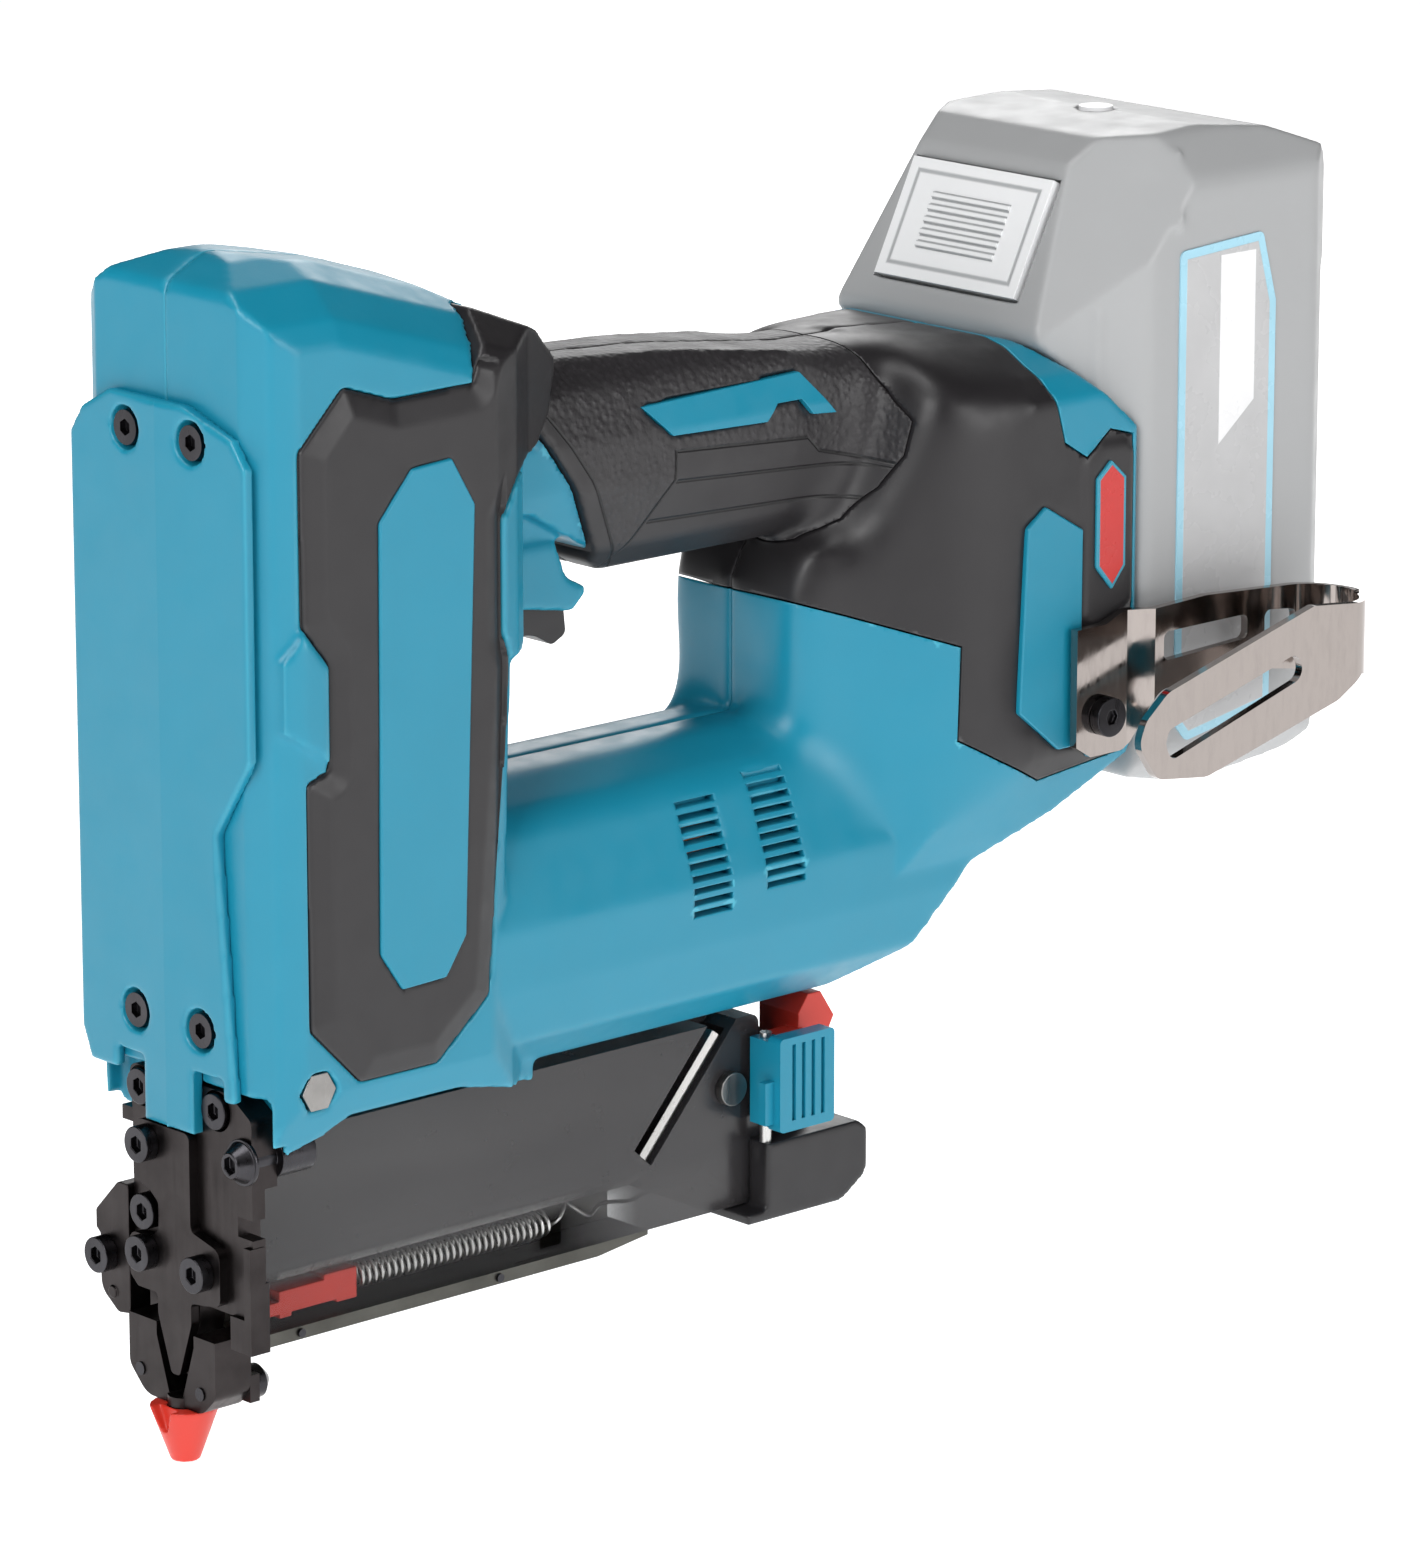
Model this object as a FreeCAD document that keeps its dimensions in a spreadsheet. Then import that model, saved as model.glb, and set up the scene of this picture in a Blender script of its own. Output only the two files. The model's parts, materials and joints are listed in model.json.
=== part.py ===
"""Cordless brad nailer, built as the separate pieces it comes apart into.

Frame: origin at the nail exit in the tip of the nose, +X from the nose side to the
battery side, +Y to the operator's right, +Z up along the driving axis. Millimetres.
Points of an outline are (u, v) or (u, v, r), where r rounds that corner.
"""
import FreeCAD, Part
import math
import os

V = FreeCAD.Vector
Placement = FreeCAD.Placement
Rotation = FreeCAD.Rotation

doc = FreeCAD.newDocument("BradNailer")

# ---------------------------------------------------------------- driving sizes
SIZES = {
    "head_half_width": 28.0,
    "head_bottom": 62.0,
    "housing_wall": 3.0,
    "skin_proud": 1.5,
    "cover_thickness": 3.0,
    "plate_thickness": 1.6,
    "motor_axis_height": 97.0,
    "motor_bore_radius": 23.5,
    "handle_half_width": 17.0,
    "grip_thickness": 2.5,
    "rear_half_width": 38.0,
    "rear_rim": 215.0,
    "channel_front": 206.5,
    "channel_half_width": 34.4,
    "insert_thickness": 1.6,
    "vent_length": 10.0,
    "vent_height": 1.2,
    "cover_screw_head_radius": 3.3,
    "case_screw_radius": 1.9,
    "socket_head_radius": 3.5,
    "socket_head_height": 2.8,
    "socket_shank_radius": 1.9,
    "nose_plate_thickness": 2.0,
    "guide_plate_thickness": 6.0,
    "blade_radius": 0.5,
    "blade_groove_radius": 0.6,
    "cap_length": 10.8,
    "cap_top_radius": 6.7,
    "cap_tip_radius": 2.8,
    "nail_hole_radius": 1.0,
    "stub_radius": 3.2,
    "cap_bore_radius": 3.25,
    "magazine_half_width": 14.0,
    "magazine_front": 7.2,
    "magazine_rear": 134.6,
    "magazine_bottom": 25.7,
    "magazine_top": 64.3,
    "magazine_wall": 1.8,
    "rail_length": 98.5,
    "web_thickness": 3.2,
    "hex_key_flats": 3.5,
    "pin_radius": 1.2,
    "hook_sheet": 1.8,
    "hook_screw_radius": 2.0,
    "hook_boss_length": 13.5,
    "tapped_hole_radius": 1.7,
    "battery_half_width": 37.5,
    "cell_radius": 10.4,
    "cell_length": 65.0,
    "stator_radius": 22.5,
    "rotor_radius": 12.0,
    "shaft_radius": 2.5,
    "fan_radius": 20.0,
    "gear_module": 1.0,
    "pinion_teeth": 10,
    "drive_teeth": 30,
    "gear_width": 6.0,
    "piston_radius": 11.0,
    "piston_bore_radius": 3.05,
    "guide_rod_radius": 3.0,
    "plunger_axis_x": 24.0,
}

sheet = doc.addObject("Spreadsheet::Sheet", "Sizes")
for row, (alias, value) in enumerate(SIZES.items(), start=1):
    sheet.set(f"A{row}", alias)
    sheet.set(f"B{row}", str(value))
    sheet.setAlias(f"B{row}", alias)
doc.recompute()


def mm(alias):
    """A driving size as a number, for placing pieces."""
    return SIZES[alias]


def cell(alias, factor=""):
    """An expression that reads a driving size from the sheet."""
    return f"Sizes.{alias}{factor}"


# ---------------------------------------------------------------- building blocks
TURN = {
    "+X": Rotation(V(0, 1, 0), 90),
    "-X": Rotation(V(0, 1, 0), -90),
    "+Y": Rotation(V(1, 0, 0), -90),
    "-Y": Rotation(V(1, 0, 0), 90),
    "+Z": Rotation(),
    "-Z": Rotation(V(1, 0, 0), 180),
}

nodes = {}


def node(name, piece):
    """Names a finished sub-part."""
    piece.Label = name
    nodes[name] = piece
    return piece


def add(kind, name):
    return doc.addObject(kind, name)


def bind(piece, **expressions):
    """Sets each property from an expression, or from a plain number."""
    for prop, value in expressions.items():
        if isinstance(value, str):
            piece.setExpression(prop, value)
        else:
            setattr(piece, prop, value)
    return piece


def box(name, low, high):
    """A block between two corners."""
    piece = add("Part::Box", name)
    bind(piece, Length=high[0] - low[0], Width=high[1] - low[1], Height=high[2] - low[2])
    piece.Placement = Placement(V(*low), Rotation())
    return piece


def cylinder(name, radius, length, at, way="+Z"):
    piece = bind(add("Part::Cylinder", name), Radius=radius, Height=length)
    piece.Placement = Placement(V(*at), TURN[way])
    return piece


def cone(name, radius_1, radius_2, length, at, way="+Z"):
    piece = bind(add("Part::Cone", name), Radius1=radius_1, Radius2=radius_2, Height=length)
    piece.Placement = Placement(V(*at), TURN[way])
    return piece


def hexagon(name, flats, length, at, way):
    """A six-sided bar, such as a nut; flats is the size across its flats."""
    piece = bind(add("Part::Prism", name), Polygon=6, Circumradius=flats / math.sqrt(3), Height=length)
    piece.Placement = Placement(V(*at), TURN[way])
    return piece


def cut(name, base, *tools):
    tool = tools[0] if len(tools) == 1 else fuse(name + "_tools", *tools)
    piece = add("Part::Cut", name)
    piece.Base = base
    piece.Tool = tool
    return piece


def fuse(name, *shapes):
    piece = add("Part::MultiFuse", name)
    piece.Shapes = list(shapes)
    return piece


def common(name, *shapes):
    piece = add("Part::MultiCommon", name)
    piece.Shapes = list(shapes)
    return piece


def group(name, *shapes):
    """Separate solids that share one node."""
    piece = add("Part::Compound", name)
    piece.Links = list(shapes)
    return piece


def mirrored(name, source):
    """The same piece on the other side of the middle plane Y = 0."""
    piece = add("Part::Mirroring", name)
    piece.Source = source
    piece.Normal = V(0, 1, 0)
    piece.Base = V(0, 0, 0)
    return piece


def outline_edges(points):
    """Lines and arcs of a closed outline, with each (u, v, r) corner rounded."""
    corners = []
    for index, point in enumerate(points):
        here = V(point[0], point[1], 0)
        before = V(*points[index - 1][:2], 0)
        after = V(*points[(index + 1) % len(points)][:2], 0)
        radius = point[2] if len(point) > 2 else 0.0
        if radius == 0.0:
            corners.append((here, None, here))
            continue
        back = (before - here).normalize()
        ahead = (after - here).normalize()
        half_angle = back.getAngle(ahead) / 2
        reach = radius / math.tan(half_angle)
        middle = (back + ahead).normalize() * (radius / math.sin(half_angle) - radius)
        corners.append((here + back * reach, here + middle, here + ahead * reach))
    edges = []
    for index, (start, middle, finish) in enumerate(corners):
        if middle is not None:
            edges.append(Part.Arc(start, middle, finish))
        following = corners[(index + 1) % len(corners)][0]
        if (following - finish).Length > 1e-6:
            edges.append(Part.LineSegment(finish, following))
    return edges


PLANES = {"XY": "XY_Plane", "XZ": "XZ_Plane", "YZ": "YZ_Plane"}


def prism(name, plane, points, low, high, length=None):
    """A body padded from an outline, between two positions along the plane's axis."""
    body = add("PartDesign::Body", name)
    sketch = body.newObject("Sketcher::SketchObject", name + "_outline")
    support = [item for item in body.Origin.OriginFeatures if item.Role == PLANES[plane]][0]
    sketch.AttachmentSupport = (support, "")
    sketch.MapMode = "FlatFace"
    # The XZ plane's own normal points to -Y, so its pad starts at the high side.
    start = -high if plane == "XZ" else low
    sketch.AttachmentOffset = Placement(V(0, 0, start), Rotation())
    for edge in outline_edges(points):
        sketch.addGeometry(edge, False)
    pad = body.newObject("PartDesign::Pad", name + "_pad")
    pad.Profile = sketch
    bind(pad, Length=length if length else high - low)
    return body


def both_sides(points):
    """Closes an outline of (u, v) points, u at least 0, with its mirror image in u."""
    other = [(-point[0],) + tuple(point[1:]) for point in reversed(points) if point[0] != 0]
    return list(points) + other


def both_ends(points):
    """Closes an outline of (u, v) points, v at least 0, with its mirror image in v."""
    other = [(point[0], -point[1]) + tuple(point[2:]) for point in reversed(points) if point[1] != 0]
    return list(points) + other


def coil(name, wire_radius, coil_radius, length, turns, at, way="+Z"):
    """A compression spring: a round wire swept along a helix, between two positions."""
    free = length - 2 * wire_radius
    path = Part.makeHelix(free / turns, free, coil_radius)
    section = Part.makeCircle(wire_radius, V(coil_radius, 0, 0), V(0, 1, 0))
    piece = add("Part::Feature", name)
    piece.Shape = Part.Wire(path.Edges).makePipeShell([Part.Wire(section)], True, True)
    offset = TURN[way].multVec(V(0, 0, wire_radius))
    piece.Placement = Placement(V(*at) + offset, TURN[way])
    return piece


# ---------------------------------------------------------------- the head and its skin
def head_solid(name, grow):
    """The faceted head, as the part shared by its three outlines, moved out by grow."""
    side = mm("head_half_width") + grow
    rear = 80 + grow
    front = -0.2 * grow if grow > 0 else -grow
    plan = both_ends([(front, 0), (front, side - 7), (3 - grow / 2, side - 2, 2), (8, side, 2),
                      (54, side, 3), (61 + grow / 2, side - 3), (68 + grow, side - 9),
                      (rear, 15), (rear, 0)])
    profile = [(front, mm("head_bottom")), (front, 226 + grow, 3), (9, 231 + grow, 8),
               (42, 225.5 + grow, 30), (69 + grow, 211.5 + grow, 15), (80 + grow, 203, 3),
               (77 + grow, 193), (71 + grow, 187), (69 + grow, 155), (61.5 + grow, 150, 3),
               (57 + grow, 84, 2), (73, 82, 1.5), (73, 63.6), (47, 69.2), (20, 69.2), (14, 66)]
    crown = both_sides([(0, mm("head_bottom")), (side - 4.5, mm("head_bottom")), (side, 75),
                        (side, 216 + grow, 2), (side - 2.5, 220.5 + grow, 2),
                        (18 + grow / 2, 226.5 + grow, 4), (9, 230 + grow, 4), (0, 231 + grow)])
    sloping = prism(name + "_slope", "YZ", crown, -80, 120)
    sloping.Placement = Placement(V(0, 0, 0), Rotation(V(0, 1, 0), 17), V(20, 0, 231))
    return common(name,
                  prism(name + "_plan", "XY", plan, 50, 240),
                  prism(name + "_profile", "XZ", profile, -40, 40),
                  prism(name + "_crown", "YZ", crown, -3, 90), sloping)


head = head_solid("head", 0.0)
head_outside = head_solid("head_outside", mm("skin_proud"))
head_inside = head_solid("head_inside", -mm("housing_wall"))
skin_outline = [(18.6, 208), (8.3, 197.3), (8.5, 164.5), (14.1, 157.2), (14.1, 136.9), (9, 135),
                (9.2, 88.1), (20.9, 76), (39.5, 76), (52.5, 86.9), (58.6, 150.7), (56.4, 156),
                (56.4, 178.3), (61.5, 184.6), (73.4, 188), (82, 191.5), (82, 204.5), (47, 204.5),
                (31.1, 204)]
skin_blank = prism("skin_blank", "XZ", skin_outline, -40, -9)
skin_corner = prism("skin_corner", "XZ",
                    [(49.5, 204), (51.7, 209.8), (53, 211.2), (57, 216.8), (70.5, 211.5), (84, 206),
                     (84, 204)], -40, -0.15)
skin_layer = common("skin_layer", head_outside, fuse("skin_range", skin_blank, skin_corner))

# ---------------------------------------------------------------- motor barrel and rear
barrel_section = both_sides([(0, 67.5), (17, 67.5, 3), (25, 75, 4), (27.5, 86, 4), (28, 98, 8),
                             (21, 117, 12), (8, 123, 12), (0, 123)])
barrel_profile = [(40, 67.5), (150, 67.5, 4), (166, 74, 4), (179, 89.3, 6), (199, 97.6, 6),
                  (211, 105.3), (211, 124), (40, 124)]
barrel = common("barrel",
                prism("barrel_section", "YZ", barrel_section, 40, 212),
                prism("barrel_profile", "XZ", barrel_profile, -30, 30))

rear_side = mm("rear_half_width")
rear_plan = both_ends([(136, 0), (136, 18), (150, 21, 45), (168, rear_side - 3, 28),
                       (180, rear_side, 20), (mm("rear_rim"), rear_side), (mm("rear_rim"), 0)])
rear_profile = [(139.5, 118), (139.5, 149, 6), (144, 157.5, 3), (152.8, 159), (160.8, 177, 12),
                (166, 196), (186, 194.5, 10), (194, 193), (215, 175.2), (215, 108), (211, 105.3),
                (199, 97.6, 6), (179, 89.3, 6), (166, 76, 4), (155, 72)]
rear_section = both_sides([(0, 66), (17, 70), (30, 95, 6), (rear_side, 112, 6),
                           (rear_side, 183, 3), (34, 187.5, 4), (25, 192.5, 4), (10, 196),
                           (0, 196.5)])
rear = common("rear",
              prism("rear_plan", "XY", rear_plan, 60, 200),
              prism("rear_profile", "XZ", rear_profile, -40, 40),
              prism("rear_section", "YZ", rear_section, 130, 216))
seam_outline = [(130, 148.2), (140.4, 147.3), (149.4, 144.2), (169.7, 136.7), (169.2, 117.7),
                (177.9, 112.8), (190.3, 106.3), (212.2, 109.2), (213, 111), (213, 173.6),
                (207, 175.3), (200.3, 170.5), (194.2, 174.3), (189.9, 189.2), (189, 200),
                (130, 200)]
above_seam = prism("above_seam", "XZ", seam_outline, -45, 45)
rear_upper = common("rear_upper", rear, above_seam)
rear_lower = cut("rear_lower", rear, above_seam)


# ---------------------------------------------------------------- handle and grip
def handle_solid(name, grow):
    """The handle's outer form moved out by grow: one section kept to one profile."""
    half = mm("handle_half_width") + grow
    section = both_sides([(0, 157.5 - grow), (8, 158.5 - grow, 4), (half - 3.5, 164, 6),
                          (half, 177, 8), (half, 186, 6), (half - 3, 196 + grow, 8),
                          (8, 201.5 + grow, 8), (0, 202 + grow)])
    profile = [(60, 172 - grow), (76, 171 - grow, 8), (91, 162.5 - grow, 6),
               (98, 158.5 - grow, 6), (170, 158.5 - grow), (170, 195.2 + grow),
               (150, 195.6 + grow, 40), (115, 199.8 + grow, 60), (94, 201 + grow, 40),
               (60, 203.5 + grow)]
    return common(name,
                  prism(name + "_section", "YZ", section, 60, 170),
                  prism(name + "_profile", "XZ", profile, -30, 30))


grip_outer = handle_solid("grip_outer", 0.0)
handle_core = handle_solid("handle_core", -mm("grip_thickness"))
grip_range = prism("grip_range", "XZ",
                   [(73.6, 193.7), (84.5, 178.8), (92.8, 163.5), (94, 150), (153, 150),
                    (152.8, 159), (160.8, 177, 12), (166.6, 200), (160, 215), (76, 215)],
                   -30, 30)
trigger_room = prism("trigger_room", "XZ",
                     [(70.2, 138), (92.5, 138), (92.5, 156), (86.5, 166.5), (79, 180),
                      (70.2, 184)], -7.3, 7.3)
band_outline = [(102.3, 191), (143.6, 192.3), (152, 183.4), (145.8, 183.9), (143, 187.2),
                (136.6, 187.2), (133.7, 184), (109.2, 184.7)]
band_zone = prism("band_zone", "XZ", band_outline, -18, -12.5)
grip_band = cut("grip_band", common("band_layer", handle_solid("band_outside", 0.4), band_zone),
                handle_core)
side_skin = cut("side_skin", skin_layer, head_inside, handle_core)
plate_outline = [(33.5, 191.1), (43.1, 191.8), (48.6, 182.4), (45.7, 100.3), (40.7, 92.9),
                 (30.1, 92.5), (24.9, 100.1), (25.6, 182.1)]
plate_face = -mm("head_half_width") - mm("skin_proud")
nameplate = prism("nameplate", "XZ", plate_outline, plate_face - 0.4, plate_face + 1.2,
                  cell("plate_thickness"))
side_pad = cut("side_pad", side_skin, nameplate)
side_pad_far = mirrored("side_pad_far", side_pad)
node("side_pad_left", side_pad)
node("side_pad_right", side_pad_far)
node("nameplates", group("nameplate_pair", nameplate, mirrored("nameplate_far", nameplate)))

grip_shell = cut("grip_shell", common("grip_layer", grip_outer, grip_range), handle_core,
                 head, rear_upper, trigger_room, side_skin, mirrored("side_skin_far", side_skin))

near_half = box("near_half", (-20, -60, -10), (300, 0, 260))
far_half = box("far_half", (-20, 0, -10), (300, 60, 260))
node("grip_left", cut("grip_near", common("grip_shell_near", grip_shell, near_half), grip_band))
grip_band_far = mirrored("grip_band_far", grip_band)
node("grip_right", cut("grip_far", common("grip_shell_far", grip_shell, far_half), grip_band_far))
node("grip_bands", group("grip_band_pair", grip_band, grip_band_far))

# ---------------------------------------------------------------- fasteners of the case
COVER_SCREWS = [(9.6, 197.9), (-9.6, 197.9), (9.6, 86.6), (-9.6, 86.6)]
CASE_SCREWS = [(70, 198.3, 13.5), (60, 69.8, 24.0), (146, 130, 16.0), (177, 103, 27.0)]
HEAD_BOLT = (11.4, 76)
BOSS_SCREW = (-19.2, 62.9)


def case_screw(name, at, way, length):
    """A star-driven case screw: its head, its shank and the star as a socket."""
    step = TURN[way].multVec(V(0, 0, 1))
    at = V(*at)
    head_disc = cylinder(name + "_head", cell("cover_screw_head_radius"), 2.6, at, way)
    shank = cylinder(name + "_shank", cell("case_screw_radius"), length, at + step * 2.5, way)
    socket = hexagon(name + "_socket", 2.8, 1.6, at - step * 0.2, way)
    return cut(name, fuse(name + "_blank", head_disc, shank), socket)


cover_screws = [case_screw(f"cover_screw_{index}", (-2.3, side, height), "+X", 9.0)
                for index, (side, height) in enumerate(COVER_SCREWS)]
case_screws = [case_screw(f"case_screw_{index}", (along, depth, height), "-Y", depth + 8.0)
               for index, (along, height, depth) in enumerate(CASE_SCREWS)]
node("housing_screws", group("all_case_screws", *cover_screws, *case_screws))

bolt_x, bolt_z = HEAD_BOLT
head_bolt = fuse("head_bolt_parts",
                 cylinder("head_bolt_shank", 2.0, 52.0, (bolt_x, 25.5, bolt_z), "-Y"),
                 cylinder("head_bolt_head", 3.8, 2.6, (bolt_x, 28.0, bolt_z), "-Y"),
                 hexagon("head_bolt_nut", 7.0, 3.0, (bolt_x, -24.6, bolt_z), "-Y"))
node("head_bolt", head_bolt)

# ---------------------------------------------------------------- front cover
cover_outline = [(14.7, 204.5, 1.5), (-7, 204.5, 1.5), (-21, 200, 1.5), (-24.7, 195, 1.5),
                 (-24.7, 140, 1.5), (-15, 125, 1.5), (-19, 74, 1), (-15.7, 74, 1), (-15.7, 78.5),
                 (-7.2, 78.5), (-7.2, 66), (7.2, 66), (7.2, 78.5), (15.7, 78.5),
                 (15.7, 74, 1), (24, 74, 1), (26.5, 80, 1), (26.5, 195, 1.5), (23, 200, 1.5)]
cover_front = -mm("cover_thickness")
cover_ridge = prism("cover_ridge", "XY",
                    both_ends([(1, 0), (1, 30), (cover_front + 1.2, 30), (cover_front + 0.4, 9),
                               (cover_front, 0)]), 60, 210)
cover_blank = common("cover_blank", cover_ridge,
                     prism("cover_outline_body", "YZ", cover_outline, cover_front, 0,
                           cell("cover_thickness")))
counterbores = [cylinder(f"counterbore_{index}", 4.2, 2.5, (-3.2, side, height), "+X")
                for index, (side, height) in enumerate(COVER_SCREWS)]
blade_recess = box("blade_recess", (-1.2, -5, 60), (0.5, 5, 158))
front_cover = cut("front_cover_body", cover_blank, *counterbores, *cover_screws, blade_recess)
node("front_cover", front_cover)

# ---------------------------------------------------------------- housing shells
shroud = prism("shroud", "XZ",
               [(60, 187.7), (74.4, 187.6), (81.6, 175.2), (87.7, 159.2), (93.4, 156.3, 1),
                (89.1, 152.3, 1), (70.9, 155.4), (60, 156)], -11, 11)
bosses = [cylinder(f"case_boss_{index}", 4.6, depth + 12.0, (along, depth, height), "-Y")
          for index, (along, height, depth) in enumerate(CASE_SCREWS)]
bolt_boss = cylinder("bolt_boss", 6.0, 50.0, (bolt_x, 25.0, bolt_z), "-Y")
raised_tabs = common("raised_tabs", head_outside,
                     fuse("tab_outlines",
                          prism("front_tab", "XZ", [(4, 158.8), (8.2, 163.6), (13.8, 156.9),
                                                    (13.8, 138.6), (4, 145.4)], -40, 40),
                          prism("rear_tab", "XZ", [(56.8, 156.2), (56.8, 178), (61.8, 184.3),
                                                   (66, 185.5), (66, 150.4), (59.1, 150.8)],
                                -40, 40)))
solid_housing = fuse("solid_housing", head, raised_tabs, barrel, rear_lower, shroud, handle_core)
head_room = prism("head_room", "XZ",
                  [(3.5, 74), (53.5, 74), (56, 122), (56.5, 150), (60, 158), (60, 196),
                   (48, 206), (38, 212), (24, 217), (10, 219), (3.5, 216)], -20.5, 20.5)
motor_room = cylinder("motor_room", cell("motor_bore_radius"), 112.0,
                      (50, 0, mm("motor_axis_height")), "+X")
gear_room = cylinder("gear_room", 18.0, 14.0, (46, 0, 117), "+X")
handle_room = box("handle_room", (62, -11, 166), (172, 11, 192.5))
rear_room = prism("rear_room", "XZ",
                  [(150, 118), (160, 100), (176, 108.5), (195, 108.5), (202.5, 113),
                   (202.5, 181.5), (196, 187), (172, 189), (168, 176), (158, 150), (150, 140)],
                  -17, 17)
rear_wide = box("rear_wide", (181, -33.5, 121), (194, 33.5, 178))
neck_channel = box("neck_channel", (mm("channel_front"), -mm("channel_half_width"), 112.3),
                   (220, mm("channel_half_width"), 205))
terminal_window = box("terminal_window", (190, -19.6, 117), (208, 19.6, 169))
blade_slot = box("blade_slot", (-1, -6.5, 60), (4, 6.5, 160))
boss_spacer = cylinder("boss_spacer", 4.2, 8.0, (6.0, *BOSS_SCREW), "+X")
nose_seat = box("nose_seat", (-1, -24.3, 58), (6.1, 24.3, 75.3))
lug_room = box("lug_room", (0, 14.5, 58), (10.8, 21, 65.2))
magazine_room = box("magazine_room", (-1, -14.7, 55), (165, 14.7, 65.2))
screw_heads = [cylinder(f"case_head_room_{index}", 3.7, 21.8, (along, depth + 20.0, height), "-Y")
               for index, (along, height, depth) in enumerate(CASE_SCREWS)]
nut_pocket = hexagon("nut_pocket", 7.4, 6.0, (bolt_x, -24.6, bolt_z), "-Y")
bolt_head_pocket = cylinder("bolt_head_pocket", 4.3, 6.0, (bolt_x, 31.4, bolt_z), "-Y")


def vent_slots():
    """Two groups of ten cooling slots through each flank of the motor barrel."""
    slots = []
    for group_index, (start_x, start_z) in enumerate([(105.0, 92.0), (124.2, 94.5)]):
        for step in range(10):
            height = start_z + 2.3 * step
            low = (start_x, -32, height)
            slot = box(f"vent_{group_index}_{step}", low, (start_x + 10, 32, height + 1.2))
            bind(slot, Length=cell("vent_length"), Height=cell("vent_height"))
            slots.append(slot)
    return slots


hollow = fuse("hollow", head_room, motor_room, gear_room, handle_room, rear_room, rear_wide)
solid_bosses = common("bosses_in_housing", fuse("boss_set", *bosses, bolt_boss), solid_housing)
shelled = fuse("shelled", cut("hollowed", solid_housing, hollow), solid_bosses)
housing = cut("housing", shelled, neck_channel, terminal_window, blade_slot, nose_seat, lug_room,
              magazine_room, trigger_room, nut_pocket, bolt_head_pocket, head_bolt,
              boss_spacer, side_pad, side_pad_far, *screw_heads, *case_screws, *cover_screws,
              *vent_slots())
node("housing_left", common("housing_near", housing, near_half))
node("housing_right", common("housing_far", housing, far_half))

# ---------------------------------------------------------------- rear covers
insert_outline = [(188.9, 162.4), (183.9, 158.7), (182, 121.6), (193, 112.5), (199, 112.5),
                  (199.2, 156.4)]
insert = prism("insert", "XZ", insert_outline, -rear_side - 0.6, -rear_side + 1.0,
               cell("insert_thickness"))
badge_outline = [(206.4, 169.5), (210.5, 165.8), (210.5, 147.6), (206.8, 143.2), (202.4, 148.2),
                 (202.4, 166.2)]
badge_step = prism("badge_step", "XZ",
                   [(203.6, 172.4), (211, 172.4), (212.6, 170), (212.6, 140), (209, 136.5),
                    (202.4, 136.5), (199.8, 139), (199.8, 169.6)], -rear_side - 0.7, -rear_side + 1)
badge = prism("badge", "XZ", badge_outline, -rear_side - 1.2, -rear_side - 0.2)
hook_x, hook_z = 202.6, 118.5
hook_boss = fuse("hook_boss",
                 cylinder("hook_boss_near", 4.6, cell("hook_boss_length"),
                          (hook_x, -rear_side - 1.5, hook_z), "+Y"),
                 cylinder("hook_boss_far", 4.6, cell("hook_boss_length"),
                          (hook_x, rear_side + 1.5, hook_z), "-Y"))
hook_holes = [cylinder("hook_hole_near", cell("hook_screw_radius"), 20.0,
                       (hook_x, -rear_side - 3, hook_z), "+Y"),
              cylinder("hook_hole_far", cell("tapped_hole_radius"), 20.0,
                       (hook_x, rear_side + 3, hook_z), "-Y")]
rear_hollow = cut("rear_hollow", rear_upper, hollow, neck_channel, barrel, handle_core)
rear_shell = fuse("rear_shell", rear_hollow, hook_boss, badge_step,
                  mirrored("badge_step_far", badge_step))
rear_cover = cut("rear_cover", rear_shell, insert, mirrored("insert_far", insert), badge,
                 mirrored("badge_far", badge), terminal_window, *hook_holes)
node("rear_cover_left", common("rear_cover_near", rear_cover, near_half))
node("rear_cover_right", common("rear_cover_far", rear_cover, far_half))
node("rear_inserts", group("insert_pair", insert, doc.insert_far))
node("emblem_plates", group("badge_pair", badge, doc.badge_far))

# ---------------------------------------------------------------- trigger
trigger_pin = cylinder("trigger_pin_body", cell("pin_radius"), 21.6, (75.5, -10.8, 159), "+Y")
trigger_body = prism("trigger_body", "XZ",
                     [(71.4, 153), (75, 146.5, 2), (81, 149, 8), (87.5, 145.2, 1.5),
                      (91, 147, 1.5), (90.4, 152.5, 1), (87, 156.5, 1), (82, 162.5, 2),
                      (73.5, 163.5, 2), (71.4, 160)], -6.6, 6.6)
trigger_bore = cylinder("trigger_bore", cell("pin_radius", " + 0.05"), 30.0, (75.5, -15, 159), "+Y")
node("trigger", cut("trigger_piece", trigger_body, trigger_bore))
node("trigger_pin", trigger_pin)
doc.housing.Tool.Shapes = doc.housing.Tool.Shapes + [trigger_pin]
node("switch_body", fuse("switch_parts", box("switch_case", (80, -8, 168.5), (106, 8, 188)),
                         cylinder("switch_plunger", 2.2, 2.6, (84, 0, 166), "+Z")))

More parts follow.
